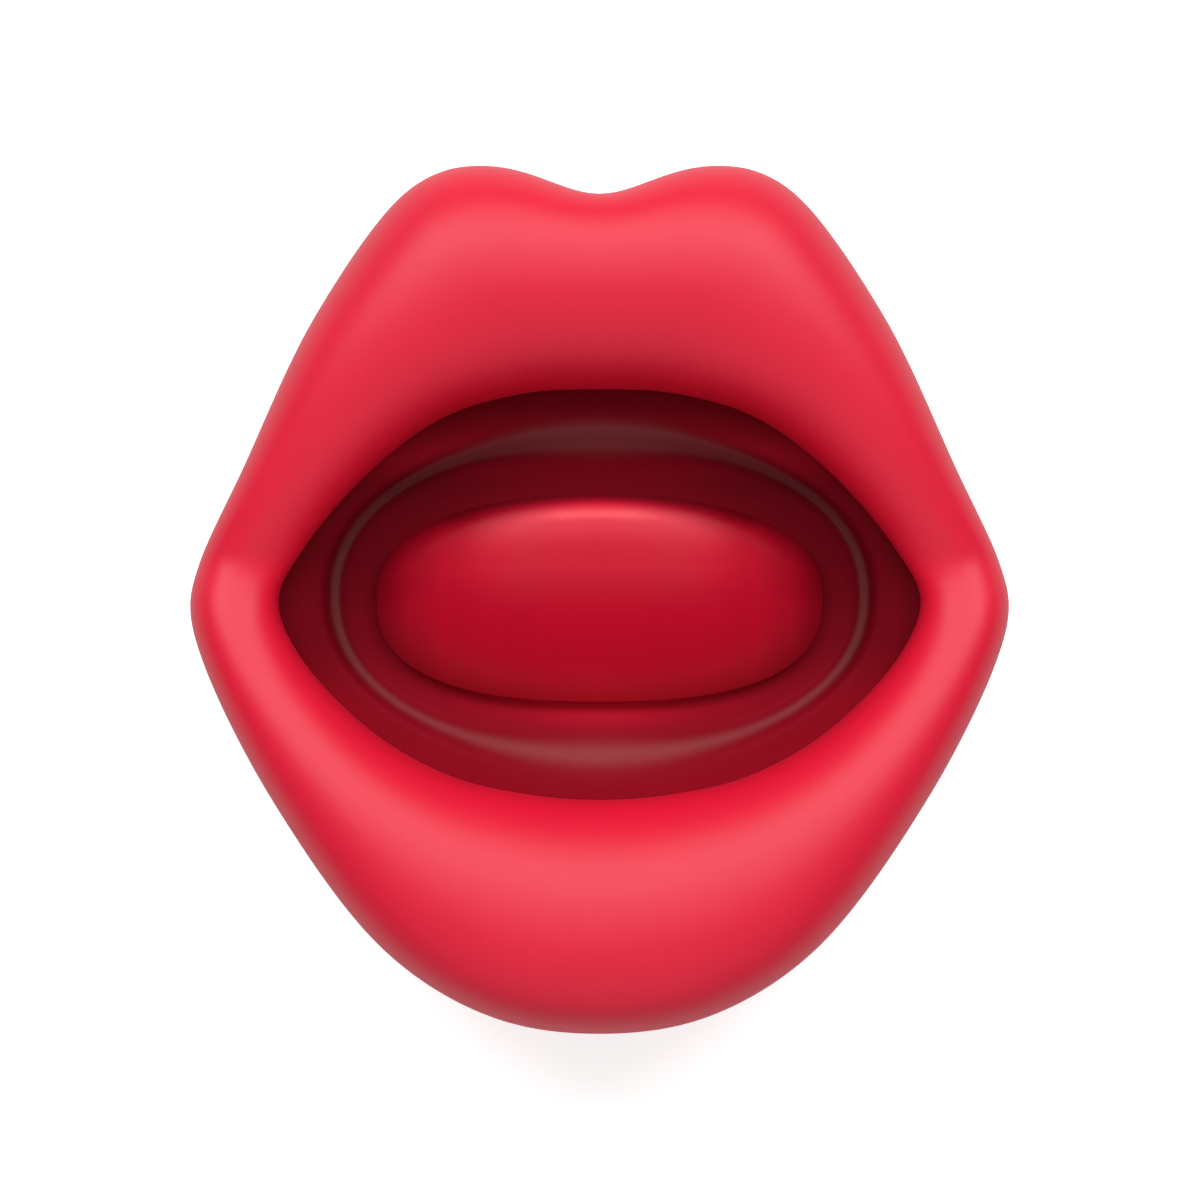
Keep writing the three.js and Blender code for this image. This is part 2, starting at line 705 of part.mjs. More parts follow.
function addMicrophone() {
  const low = floorTop + gap;
  const inner = microphoneRadius + gap;
  const boot = tube(inner + bootWall, inner, low, low + microphoneHeight + 0.6, 0, microphoneY, 16);
  node("microphone_boot", boot, "rubber");
  node("microphone", disc(microphoneRadius, low, low + microphoneHeight, 0, microphoneY, 16), "steel");
}

const ringerLedge = floorTop + 1;

function addRinger() {
  const low = ringerLedge + gap;
  const ceramic = ringerRadius - 3.5;
  const plate = [[0, low], [ringerRadius, low], [ringerRadius, low + 0.5], [ceramic, low + 0.5]];
  plate.push([ceramic, low + 1], [0, low + 1]);
  node("ringer_disc", turned(plate, ringerX, ringerY, 20), "brass");
  const ringLow = low + 0.5 + gap;
  const ring = tube(ringerRadius, ceramic + gap, ringLow, ringLow + 1.8, ringerX, ringerY);
  node("ringer_retainer", ring, "black");
}

// ---- Hook plunger ----

const hookGuideTop = floorTop + hookGuideHeight;
const hookFlangeLow = hookGuideTop + gap + hookTravel;
const hookFlangeTop = hookFlangeLow + hookFlangeHeight;
const hookSwitchLow = hookFlangeTop + hookSpringHeight;

function addHook() {
  const stemTop = hookSwitchLow + hookSwitchHeight - 0.6;
  const profile = [
    [0, hookClearance],
    [hookRadius - 0.8, hookClearance],
    [hookRadius, hookClearance + 0.8],
    [hookRadius, hookFlangeLow],
    [hookFlangeRadius, hookFlangeLow],
    [hookFlangeRadius, hookFlangeTop],
    [hookStemRadius, hookFlangeTop],
    [hookStemRadius, stemTop],
    [0, stemTop],
  ];
  node("hook_plunger", turned(profile, 0, hookY), "keys");
  node("hook_spring", spring(hookSpringRadius, 4, hookFlangeTop, hookSwitchLow, 0, hookY), "steel");
  const low = hookSwitchLow;
  const housing = slab(0, hookY, hookSwitchWidth, 10, low, low + hookSwitchHeight);
  const bore = disc(hookStemRadius + slidingGap, low - 1, low + hookSwitchHeight + 1, 0, hookY, 12);
  node("hook_switch", cut(housing, bore), "black");
}

// ---- Slide switches, jack, feet, screws and weights ----

function addSlideSwitches() {
  const switches = [
    ["ringer_switch_knob", "ringer_switch_body", switchX],
    ["dial_mode_knob", "dial_mode_switch", -switchX],
  ];
  for (const [knobName, bodyName, x] of switches) {
    const plateTop = flangeLow + knobPlate;
    const pin = slab(x, switchY, knobWidth, knobLength, backFace - knobStand, plateTop);
    const plateWidth = 2 * switchTravel + knobWidth + 4;
    const plate = slab(x, switchY, plateWidth, knobLength + 2.6, flangeLow, plateTop);
    node(knobName, join(pin, plate), "black");
    const low = plateTop + gap;
    node(bodyName, slab(x, switchY, switchWidth, switchLength, low, low + switchHeight), "steel");
  }
}

const jackFront = -bodyLength / 2 + 2.1;
const jackSocketLow = jackBottom + 2;
const jackPadFront = jackFront + wall + jackPadMargin;

function addJack() {
  const body = slab(0, jackFront + jackDepth / 2, jackWidth, jackDepth, jackBottom, jackBottom + jackHeight);
  const half = jackSocketWidth / 2;
  const back = jackFront + jackSocketDepth;
  const socket = block(-half, half, jackFront - 1, back, jackSocketLow, jackSocketLow + jackSocketHeight);
  const latch = block(-2, 2, jackFront - 1, back, jackSocketLow - 1.2, jackSocketLow + 1);
  node("line_jack", cut(body, socket, latch), "black");
}

const feet = [];
for (const [side, sign] of [["left", -1], ["right", 1]]) {
  feet.push({ name: "foot_upper_" + side, x: sign * upperFoot.x, y: upperFoot.y });
  feet.push({ name: "foot_lower_" + side, x: sign * lowerFoot.x, y: lowerFoot.y });
}

function addFeet() {
  const seat = backFace - gap;
  const studTop = floorTop + 0.8;
  for (const { name, x, y } of feet) {
    const profile = [
      [0, 0],
      [footRadius - 0.5, 0],
      [footRadius, 0.5],
      [footRadius, seat],
      [footStudRadius, seat],
      [footStudRadius, studTop],
      [0, studTop],
    ];
    node(name, turned(profile, x, y, 14), "rubber");
  }
}

function addCaseScrews() {
  const low = backFace + screwSink;
  const shoulder = low + screwHeadHeight;
  const tip = lipsLow + screwGrip - 0.8;
  for (const { name, x, y } of caseScrews) {
    const profile = [
      [0, low],
      [screwHeadRadius, low],
      [screwHeadRadius, shoulder],
      [screwRadius, shoulder],
      [screwRadius, tip - 1.5],
      [0, tip],
    ];
    node("case_screw_" + name, turned(profile, x, y, 10), "steel");
  }
}

function addBallast() {
  for (const [side, sign] of [["left", -1], ["right", 1]]) {
    const low = floorTop + gap;
    const bar = slab(sign * ballastX, ballastY, ballastWidth, ballastLength, low, low + ballastHeight);
    node("ballast_" + side, bar, "iron");
  }
}

// ---- Leads ----

const leadRadius = 0.8;
const leadOnBoard = boardTop + gap + leadRadius;

function lead(name, points) {
  const curve = new THREE.CatmullRomCurve3(points.map((p) => new THREE.Vector3(...p)), false, "centripetal");
  node(name, rod(curve, leadRadius, 16, 6), "lead");
}

function addLeads() {
  const boardY = boardEnds.bottom;
  const receiverEdge = receiverY - receiverMagnetRadius;
  lead("receiver_lead", [
    [receiverMagnetRadius * 0.7 + 1, receiverY - receiverMagnetRadius * 0.7 - 1, receiverTop - 1],
    [14, receiverEdge - 2, receiverTop - 1.5],
    [19, hookY + 9, boardTop + 4],
    [20, hookY - 3, leadOnBoard + 1],
    [19, boardEnds.top - 3, leadOnBoard],
    [17, boardEnds.top - 8, leadOnBoard],
  ]);
  const microphoneTop = floorTop + gap + microphoneHeight;
  lead("microphone_lead", [
    [0, microphoneY, microphoneTop + gap],
    [0, microphoneY + 1, microphoneTop + 1.8],
    [0, microphoneY + 8, microphoneTop + 3.2],
    [-2, boardY - 1, leadOnBoard + 0.8],
    [-3, boardY + 3, leadOnBoard],
    [-3, boardY + 7, leadOnBoard],
  ]);
  const jackBack = jackFront + jackDepth + gap;
  lead("line_lead", [
    [3, jackBack, jackBottom + 8],
    [3.2, jackBack + 1.2, jackBottom + 8],
    [10, microphoneY - 1, jackBottom + 7.4],
    [12, microphoneY + 8, jackBottom + 7.2],
    [10, boardY - 1, leadOnBoard + 0.7],
    [9, boardY + 3, leadOnBoard],
    [9, boardY + 7, leadOnBoard],
  ]);
  const ringTop = ringerLedge + 2 * gap + 2.3;
  const ringEdge = ringerX - ringerRadius + 3;
  lead("ringer_lead", [
    [ringEdge, ringerY - 1, ringTop + gap],
    [ringEdge, ringerY - 1.4, ringTop + 2.5],
    [ringEdge - 0.6, ringerY - 2.4, leadOnBoard + 1.6],
    [boardWidth / 2 - 3, ringerY - 4, leadOnBoard + 0.8],
    [boardWidth / 2 - 8, ringerY - 4, leadOnBoard],
  ]);
}

// ---- Back cover ----

// The dish itself: a round-edged tray with a stepped rim
function coverTray() {
  const drop = partingHeight - backFace;
  const outerLevel = (turn) => partingHeight - drop * Math.sin(turn);
  const rings = [];
  const steps = 5;
  for (let i = 0; i <= steps; i++) {
    const turn = ((1 - i / steps) * Math.PI) / 2;
    const inset = backEdgeRadius * (1 - Math.cos(turn));
    rings.push(ringOf(lipsEdge(-inset), outerLevel(turn), lipSteps));
  }
  const stepAt = wall + rimClearance;
  const innerTop = stepAt + rimStep;
  rings.push(ringOf(lipsEdge(-stepAt), partingHeight, lipSteps));
  rings.push(ringOf(lipsEdge(-stepAt), partingHeight + rimStepHeight, lipSteps));
  rings.push(ringOf(lipsEdge(-innerTop), partingHeight + rimStepHeight, lipSteps));
  rings.push(ringOf(lipsEdge(-innerTop), partingHeight - 3, lipSteps));
  for (let i = 1; i <= 4; i++) {
    const turn = ((i / 4) * Math.PI) / 2;
    const inset = innerTop + (backEdgeRadius - rimStep) * (1 - Math.cos(turn));
    const level = partingHeight - 3 - (partingHeight - 3 - floorTop) * Math.sin(turn);
    rings.push(ringOf(lipsEdge(-inset), level, lipSteps));
  }
  return loft(rings, false);
}

// What stands on the cover's inner face
function coverBosses() {
  const root = floorTop - 1;
  const parts = [];
  for (const { x, y } of caseScrews) parts.push(disc(caseBossRadius, root, partingHeight, x, y, 14));
  for (const [x, y] of boardPins) {
    parts.push(disc(2, root, boardLow - gap, x, y, 8), disc(1, root, boardTop + 0.6, x, y, 8));
  }
  for (const side of [-1, 1]) {
    const postX = side * clampPostX;
    parts.push(disc(clampPostRadius, root, clampLow - gap, postX, receiverY, 10));
    parts.push(disc(2.5, root, hookSwitchLow - gap, side * hookPostX, hookY, 10));
    for (const edge of [-1, 1]) {
      const railY = switchY + edge * (switchLength / 2 + gap + collarWall / 2);
      parts.push(slab(side * switchX, railY, switchWidth, collarWall, root, floorTop + switchHeight));
      const ribY = ballastY + edge * (ballastLength / 2 + gap + collarWall / 2);
      parts.push(slab(side * ballastX, ribY, ballastWidth, collarWall, root, floorTop + 5));
    }
  }
  const earBoss = receiverRadius + 0.4;
  parts.push(disc(earBoss + 0.5, root, floorTop + earDishDepth, 0, receiverY, 24));
  parts.push(tube(earBoss + collarWall, earBoss, root, receiverLow + 2, 0, receiverY, 24));
  const bootRadius = microphoneRadius + gap + bootWall + gap;
  parts.push(tube(bootRadius + collarWall, bootRadius, root, floorTop + 4.5, 0, microphoneY, 16));
  parts.push(tube(ringerCollar + collarWall, ringerCollar - 2.5, root, ringerLedge, ringerX, ringerY, 24));
  parts.push(tube(ringerCollar + collarWall, ringerCollar, root, ringerLedge + 3, ringerX, ringerY, 24));
  const guide = hookRadius + slidingGap;
  parts.push(tube(guide + collarWall, guide, root, hookGuideTop, 0, hookY, 16));
  const padHalf = jackWidth / 2 - 1;
  parts.push(block(-padHalf, padHalf, jackPadFront, jackFront + jackDepth, root, jackBottom - gap));
  return parts;
}

// Round holes in rings about a point: each entry is [how many, at what radius]
function holeRings(x, y, rings, radius, low, high) {
  return rings.flatMap(([count, reach]) => {
    return Array.from({ length: count }, (_, i) => {
      const turn = (i / count) * 2 * Math.PI;
      return disc(radius, low, high, x + reach * Math.cos(turn), y + reach * Math.sin(turn), 6);
    });
  });
}

function coverHoles() {
  const [below, above] = [backFace - 1, floorTop + 3];
  const holes = keys.map(({ x, y, width, length }) => {
    return slab(x, y, width + 2 * slidingGap, length + 2 * slidingGap, below, above);
  });
  for (const { x, y } of caseScrews) {
    const shoulder = backFace + screwSink + screwHeadHeight + gap;
    holes.push(disc(screwHeadRadius + holeGap, below, shoulder, x, y, 12));
    holes.push(disc(screwRadius + holeGap, below, partingHeight + 1, x, y, 8));
  }
  for (const { x, y } of feet) holes.push(disc(footStudRadius + holeGap, below, above, x, y, 8));
  for (const side of [-1, 1]) {
    holes.push(disc(1.1 + holeGap, clampTop - 9.4, clampLow, side * clampPostX, receiverY, 8));
    const slotWidth = knobWidth + 2 * switchTravel + 2 * slidingGap;
    const slotLength = knobLength + 2 * slidingGap;
    holes.push(slab(side * switchX, switchY, slotWidth, slotLength, below, above));
    const recess = [slotWidth + 3, slotLength + 2, below, backFace + 0.6];
    holes.push(slab(side * switchX, switchY, ...recess));
  }
  holes.push(disc(hookRadius + slidingGap, below, above, 0, hookY));
  holes.push(disc(earDishRadius, below, backFace + earDishDepth, 0, receiverY, 32));
  holes.push(...holeRings(0, receiverY, [[1, 0], [6, 5], [12, 10]], earHoleRadius, below, above + 1));
  holes.push(...holeRings(0, microphoneY, [[1, 0], [4, 3]], microphoneHoleRadius, below, above));
  holes.push(...holeRings(ringerX, ringerY, [[1, 0], [6, 6]], ringerHoleRadius, below, above));
  // the jack drops into a notch in the rim, which the lips close
  const half = jackWidth / 2 + gap;
  const notchTop = partingHeight + rimStepHeight + 1;
  holes.push(block(-half, half, jackFront - 4, jackPadFront, jackBottom - gap, notchTop));
  return holes;
}

function addCover() {
  node("back_cover", cut(join(coverTray(), ...coverBosses()), ...coverHoles()), "cover");
}

addLips();
addLiner();
addTongue();
addCover();
addKeys();
addKeypadWorks();
addReceiver();
addMicrophone();
addRinger();
addHook();
addSlideSwitches();
addJack();
addFeet();
addCaseScrews();
addBallast();
addLeads();

const telephone = new THREE.Group();
telephone.add(...meshes);

export default telephone;
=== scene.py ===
import json
import math

import bpy
import bmesh
import numpy as np
from mathutils import Matrix, Vector


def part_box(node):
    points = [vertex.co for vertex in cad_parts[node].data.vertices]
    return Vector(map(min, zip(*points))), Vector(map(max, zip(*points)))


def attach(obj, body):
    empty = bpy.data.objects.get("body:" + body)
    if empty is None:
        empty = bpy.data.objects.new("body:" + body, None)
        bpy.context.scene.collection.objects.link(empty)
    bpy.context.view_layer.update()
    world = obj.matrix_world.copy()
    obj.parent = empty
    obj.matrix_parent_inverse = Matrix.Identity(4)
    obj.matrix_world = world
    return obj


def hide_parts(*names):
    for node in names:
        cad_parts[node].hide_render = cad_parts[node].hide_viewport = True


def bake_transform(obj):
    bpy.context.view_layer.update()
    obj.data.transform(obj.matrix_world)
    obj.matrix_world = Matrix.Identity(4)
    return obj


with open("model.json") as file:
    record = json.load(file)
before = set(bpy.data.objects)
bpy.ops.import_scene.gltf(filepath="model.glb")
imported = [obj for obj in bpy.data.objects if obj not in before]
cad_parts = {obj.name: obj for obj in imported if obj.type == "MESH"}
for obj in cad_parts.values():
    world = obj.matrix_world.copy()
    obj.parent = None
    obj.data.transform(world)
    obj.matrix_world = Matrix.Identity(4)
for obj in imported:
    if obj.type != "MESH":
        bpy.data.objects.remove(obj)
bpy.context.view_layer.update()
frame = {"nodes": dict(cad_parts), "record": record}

# A lip-shaped telephone on its back. Sizes in the dictionaries are millimetres, and meshes are in metres.
mm = 0.001
white = (1, 1, 1, 1)
scene = bpy.context.scene

# The camera looks straight down into the mouth from its height, at which the frame is this wide
view = dict(width=271.2, height=2000.0, sensor=36.0, aimX=0.1, aimY=-0.4, aimZ=24.0)

cameraData = bpy.data.cameras.new("camera")
cameraData.sensor_width = view["sensor"]
cameraData.lens = view["sensor"] * view["height"] / view["width"]
cameraData.clip_end = 50.0  # metres
camera = bpy.data.objects.new("camera", cameraData)
scene.collection.objects.link(camera)
camera.location = (view["aimX"] * mm, view["aimY"] * mm, (view["aimZ"] + view["height"]) * mm)
scene.camera = camera
scene.view_settings.view_transform = "Standard"

# Two softboxes beyond the upper lip. Turn and height are degrees, from +X and from the floor, and the
# distance and size are metres.
lamps = [
    dict(name="leftSoftbox", turn=135, height=45, away=2.5, size=1.1, power=16.5),
    dict(name="rightSoftbox", turn=45, height=45, away=2.5, size=1.1, power=16.5),
]


def directionTo(turn, height):
    turn, height = math.radians(turn), math.radians(height)
    return Vector((math.cos(height) * math.cos(turn), math.cos(height) * math.sin(turn), math.sin(height)))


def addLamp(name, turn, height, away, size, power):
    data = bpy.data.lights.new(name, "AREA")
    data.shape = "DISK"
    data.size = size
    data.energy = power
    lamp = bpy.data.objects.new(name, data)
    lamp.location = directionTo(turn, height) * away
    lamp.rotation_euler = (-lamp.location).to_track_quat("-Z", "Y").to_euler()
    scene.collection.objects.link(lamp)


for lamp in lamps:
    addLamp(**lamp)


# Gives inputs of a node, by name or number, a plain value or a link from another node's socket
def setInputs(tree, node, inputs):
    for label, value in inputs.items():
        if isinstance(value, bpy.types.NodeSocket):
            tree.links.new(value, node.inputs[label])
        else:
            node.inputs[label].default_value = value
    return node


def addNode(tree, kind, inputs=None, **settings):
    node = tree.nodes.new(kind)
    for label, value in settings.items():
        setattr(node, label, value)
    return setInputs(tree, node, inputs or {})


def addMath(tree, operation, first, second=0.0):
    return addNode(tree, "ShaderNodeMath", {0: first, 1: second}, operation=operation).outputs[0]


# One shader for what the camera sees straight on, and another for all other light
def addCameraPick(tree, seen, other):
    path = addNode(tree, "ShaderNodeLightPath")
    shaders = {"Fac": path.outputs["Is Camera Ray"], 1: other.outputs[0], 2: seen.outputs[0]}
    return addNode(tree, "ShaderNodeMixShader", shaders).outputs[0]


# Soft glows in the sky: each is strongest in its direction, and tighter for a higher power
glows = [
    dict(turn=90, height=57, power=12, strength=2.85),
    dict(turn=90, height=47, power=40, strength=1.8),
    dict(turn=-90, height=45, power=4, strength=0.72),
]


def makeSky():
    world = bpy.data.worlds.new("studio")
    scene.world = world
    world.use_nodes = True
    tree = world.node_tree
    place = addNode(tree, "ShaderNodeTexCoord").outputs["Generated"]
    total = 0.0
    for glow in glows:
        vectors = {0: place, 1: directionTo(glow["turn"], glow["height"])}
        value = addNode(tree, "ShaderNodeVectorMath", vectors, operation="DOT_PRODUCT").outputs["Value"]
        for operation, amount in [("MAXIMUM", 0.0), ("POWER", glow["power"]), ("MULTIPLY", glow["strength"])]:
            value = addMath(tree, operation, value, amount)
        total = addMath(tree, "ADD", total, value)
    light = setInputs(tree, tree.nodes["Background"], {"Color": white, "Strength": total})
    plain = addNode(tree, "ShaderNodeBackground", {"Color": white})
    setInputs(tree, tree.nodes["World Output"], {"Surface": addCameraPick(tree, plain, light)})


makeSky()


def linkObject(name, mesh):
    piece = bpy.data.objects.new(name, mesh)
    scene.collection.objects.link(piece)
    return piece


# A mesh through rings of equally many points, given in millimetres. A hollow one joins its last ring to
# its first, and any other is closed at both ends. Masks are values for the points of the first rings,
# stored under their names for the material to read, and the other points have 0.
def ringMesh(name, rings, hollow=False, masks=None):
    count = len(rings[0])
    points = [[c * mm for c in p] for ring in rings for p in ring]
    bands = len(rings) if hollow else len(rings) - 1
    faces = []
    for band in range(bands):
        here = band * count
        there = (band + 1) % len(rings) * count
        for i in range(count):
            j = (i + 1) % count
            faces.append((here + i, here + j, there + j, there + i))
    if not hollow:
        for start in (0, (len(rings) - 1) * count):
            middle = np.mean(points[start:start + count], axis=0).tolist()
            points.append(middle)
            centre = len(points) - 1
            faces += [(centre, start + i, start + (i + 1) % count) for i in range(count)]
    mesh = bpy.data.meshes.new(name)
    mesh.from_pydata(points, [], faces)
    for label, rows in (masks or {}).items():
        values = np.zeros(len(points), np.float32)
        values[:len(rows) * count] = np.concatenate(rows)
        mesh.attributes.new(label, "FLOAT", "POINT").data.foreach_set("value", values)
    return linkObject(name, outward(mesh))


def outward(mesh):
    work = bmesh.new()
    work.from_mesh(mesh)
    bmesh.ops.remove_doubles(work, verts=work.verts, dist=0.002 * mm)
    bmesh.ops.recalc_face_normals(work, faces=work.faces)
    work.to_mesh(mesh)
    work.free()
    return mesh


# A profile of [radius, height] points turned about an upright axis. A hollow one joins up, as for a tube.
def turnedPiece(name, profile, x, y, sides=48, hollow=False):
    turns = [2 * math.pi * i / sides for i in range(sides)]
    rings = [[(x + r * math.cos(t), y + r * math.sin(t), z) for t in turns] for r, z in profile]
    return ringMesh(name, rings, hollow)


def roundedRing(x, y, width, length, corner, height, steps=6):
    ring = []
    for quarter, (sx, sy) in enumerate([(1, 1), (-1, 1), (-1, -1), (1, -1)]):
        cx, cy = x + sx * (width / 2 - corner), y + sy * (length / 2 - corner)
        for i in range(steps + 1):
            turn = (quarter + i / steps) * math.pi / 2
            ring.append((cx + corner * math.cos(turn), cy + corner * math.sin(turn), height))
    return ring


def joinPieces(name, pieces):
    work = bmesh.new()
    for piece in pieces:
        work.from_mesh(piece.data)
        bpy.data.objects.remove(piece)
    mesh = bpy.data.meshes.new(name)
    work.to_mesh(mesh)
    work.free()
    return linkObject(name, mesh)


def smooth(piece, sharpDegrees):
    for face in piece.data.polygons:
        face.use_smooth = True
    piece.data.set_sharp_from_angle(angle=math.radians(sharpDegrees))


# A quarter round as [inset, rise] steps, from a face to the side beside it
def quarterRound(edge, steps=6):
    turns = [i / steps * math.pi / 2 for i in range(steps + 1)]
    return [(edge * (1 - math.sin(turn)), edge * (1 - math.cos(turn))) for turn in turns]


def paint(piece, material):
    piece.data.materials.clear()
    piece.data.materials.append(material)


# Gives a finished piece its look and body, and hides the CAD nodes that it stands for. Edges up to
# the angle are smoothed, where it has one.
def finishPiece(piece, look, body, slot, *nodes, angle=None):
    if angle:
        smooth(piece, angle)
    paint(piece, materials[look])
    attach(piece, body)
    if nodes:
        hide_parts(*nodes)


def pieceName(node, ending):
    return node.replace("_", "") + ending


def plainMesh(piece):
    depsgraph = bpy.context.evaluated_depsgraph_get()
    mesh = bpy.data.meshes.new_from_object(piece.evaluated_get(depsgraph))
    piece.modifiers.clear()
    piece.data = mesh
    return piece


# Cuts, joins or keeps the common part of two closed meshes, and removes the tool
def combine(piece, tool, operation):
    step = piece.modifiers.new("combine", "BOOLEAN")
    step.operation = operation
    step.solver = "EXACT"
    step.object = tool
    plainMesh(piece)
    bpy.data.objects.remove(tool)
    return piece


def boxOf(node):
    low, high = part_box(node)
    return [c / mm for c in low], [c / mm for c in high]


# The x and y of the middle of every node
places = {}
for name in frame["nodes"]:
    places[name] = [(a + b) / 2 for a, b in zip(*boxOf(name))][:2]
rows, sides = ("upper", "middle", "lower"), ("left", "right")
screwNames = [f"case_screw_{row}_{side}" for row in rows for side in sides]
footNames = [f"foot_{row}_{side}" for row in ("upper", "lower") for side in sides]


def linear(red, green, blue):
    channels = [c / 255 for c in (red, green, blue)]
    return [c / 12.92 if c <= 0.04045 else ((c + 0.055) / 1.055) ** 2.4 for c in channels] + [1]


# An empty shader group with its numbers and their plain values, what it is given, and its end
def newGroup(name, inputs, outputs):
    tree = bpy.data.node_groups.new(name, "ShaderNodeTree")
    for label, value in inputs.items():
        socket = tree.interface.new_socket(label, in_out="INPUT", socket_type="NodeSocketFloat")
        socket.default_value = value
    for label in outputs:
        tree.interface.new_socket(label, in_out="OUTPUT", socket_type="NodeSocketFloat")
    return tree, addNode(tree, "NodeGroupInput").outputs, addNode(tree, "NodeGroupOutput")


# A moulded surface: a fine grain for the bump, and slow blotches for the colour and the roughness
def makeMouldedGrain():
    sizes = {"Grain Size": 0.4, "Blotch Size": 18.0}
    tree, given, end = newGroup("mouldedGrain", sizes, ["Height", "Blotch"])
    place = addNode(tree, "ShaderNodeTexCoord").outputs["Object"]
    for size, target, detail in [("Grain Size", "Height", 2.0), ("Blotch Size", "Blotch", 3.0)]:
        scale = addMath(tree, "DIVIDE", 1 / mm, given[size])  # per metre, from millimetres
        noise = addNode(tree, "ShaderNodeTexNoise", {"Vector": place, "Scale": scale, "Detail": detail})
        setInputs(tree, end, {target: noise.outputs["Fac"]})
    return tree


# A painted highlight along an edge, broken up by a fine speckle. The edge mask is 1 on the edge and fades
# beside it.
def makePaintedEdgeHighlight():
    tree, given, end = newGroup("edgeWear", {"Edge": 0.0, "Amount": 1.0}, ["Mask"])
    place = addNode(tree, "ShaderNodeTexCoord").outputs["Object"]
    noise = addNode(tree, "ShaderNodeTexNoise", {"Vector": place, "Scale": 900.0})
    span = {"Value": noise.outputs["Fac"], "To Min": 0.8, "To Max": 1.2}
    speckle = addNode(tree, "ShaderNodeMapRange", span)
    paintedBand = addMath(tree, "MULTIPLY", given["Edge"], given["Amount"])
    setInputs(tree, end, {"Mask": addMath(tree, "MULTIPLY", paintedBand, speckle.outputs["Result"])})
    return tree


mouldedGrain, edgeWear = makeMouldedGrain(), makePaintedEdgeHighlight()


# A value along an axis of the piece, from stops of [millimetres, value]
def addRamp(tree, axis, stops):
    place = addNode(tree, "ShaderNodeTexCoord").outputs["Object"]
    value = addNode(tree, "ShaderNodeSeparateXYZ", {"Vector": place}).outputs[axis[-1]]
    if axis == "endX":
        value = addMath(tree, "ABSOLUTE", value)
    first, last = stops[0][0], stops[-1][0]
    span = {"Value": value, "From Min": first * mm, "From Max": last * mm}
    share = addNode(tree, "ShaderNodeMapRange", span).outputs["Result"]
    ramp = addNode(tree, "ShaderNodeValToRGB", {"Fac": share})
    ramp.color_ramp.interpolation = "EASE"
    elements = ramp.color_ramp.elements
    for stop in stops[1:-1]:
        elements.new((stop[0] - first) / (last - first))
    for element, (_, amount) in zip(elements, stops):
        element.color = (amount, amount, amount, 1)
    return ramp.outputs["Color"]


# A mask that the mesh holds for each of its points
def addMask(tree, label):
    return addNode(tree, "ShaderNodeAttribute", attribute_name=label).outputs["Fac"]


# Mixes a colour with another by a mask or a plain share
def addMix(tree, blend, factor, first, second):
    mix = addNode(tree, "ShaderNodeMix", data_type="RGBA", blend_type=blend)
    number = {socket.name: i for i, socket in enumerate(mix.inputs) if socket.enabled}
    setInputs(tree, mix, {number["Factor"]: factor, number["A"]: first, number["B"]: second})
    return [socket for socket in mix.outputs if socket.enabled][0]


# What holds where a look doesn't say. Grain and blotch are millimetres across, the spreads are how far the
# blotches move the colour and the grain the roughness, and depth is the bump's.
plainLook = dict(grain=0.4, blotch=18.0, spread=0.06, roughSpread=0.04, bump=0.1, depth=0.05,
                 coatRoughness=0.2, metallic=0.0, specular=0.5)


# A Principled material over the moulded grain
def makeMaterial(name, look):
    look = {**plainLook, **look}
    material = bpy.data.materials.new(name)
    material.use_nodes = True
    tree = material.node_tree
    grain = addNode(tree, "ShaderNodeGroup", node_tree=mouldedGrain)
    setInputs(tree, grain, {"Grain Size": look["grain"], "Blotch Size": look["blotch"]})
    shares = (1 - look["spread"], 1 + look["spread"])
    tones = [[min(c * share, 1) for c in look["colour"][:3]] + [1] for share in shares]
    colour = addMix(tree, "MIX", grain.outputs["Blotch"], *tones)
    # Painted shade along axes, painted light and shade by mask, and a painted highlight, all in the base
    # colour
    for axis, stops in look.get("shading", []):
        colour = addMix(tree, "MULTIPLY", 1.0, colour, addRamp(tree, axis, stops))
    if "tint" in look:
        paintedLightAndShadeColour = addMix(tree, "MULTIPLY", 1.0, colour, look["tint"])
        colour = addMix(tree, "MIX", addMask(tree, "shade"), colour, paintedLightAndShadeColour)
    if "wear" in look:
        wear = addNode(tree, "ShaderNodeGroup", node_tree=edgeWear)
        setInputs(tree, wear, {"Edge": addMask(tree, "wear")})
        colour = addMix(tree, "ADD", wear.outputs["Mask"], colour, look["wear"])
    height = grain.outputs["Height"]
    ends = [look["roughness"] + way * look["roughSpread"] for way in (-1, 1)]
    gloss = addNode(tree, "ShaderNodeMapRange", {"Value": height, "To Min": ends[0], "To Max": ends[1]})
    relief = {"Height": height, "Strength": look["bump"], "Distance": look["depth"] * mm}
    surface = {"Base Color": colour, "Roughness": gloss.outputs["Result"], "Metallic": look["metallic"],
               "Normal": addNode(tree, "ShaderNodeBump", relief).outputs["Normal"],
               "Specular IOR Level": look["specular"], "Coat Roughness": look["coatRoughness"]}
    if "coatShading" in look:
        weights = [addRamp(tree, axis, stops) for axis, stops in look["coatShading"]]
        surface["Coat Weight"] = addMix(tree, "MULTIPLY", 1.0, *weights)
    setInputs(tree, tree.nodes["Principled BSDF"], surface)
    return material
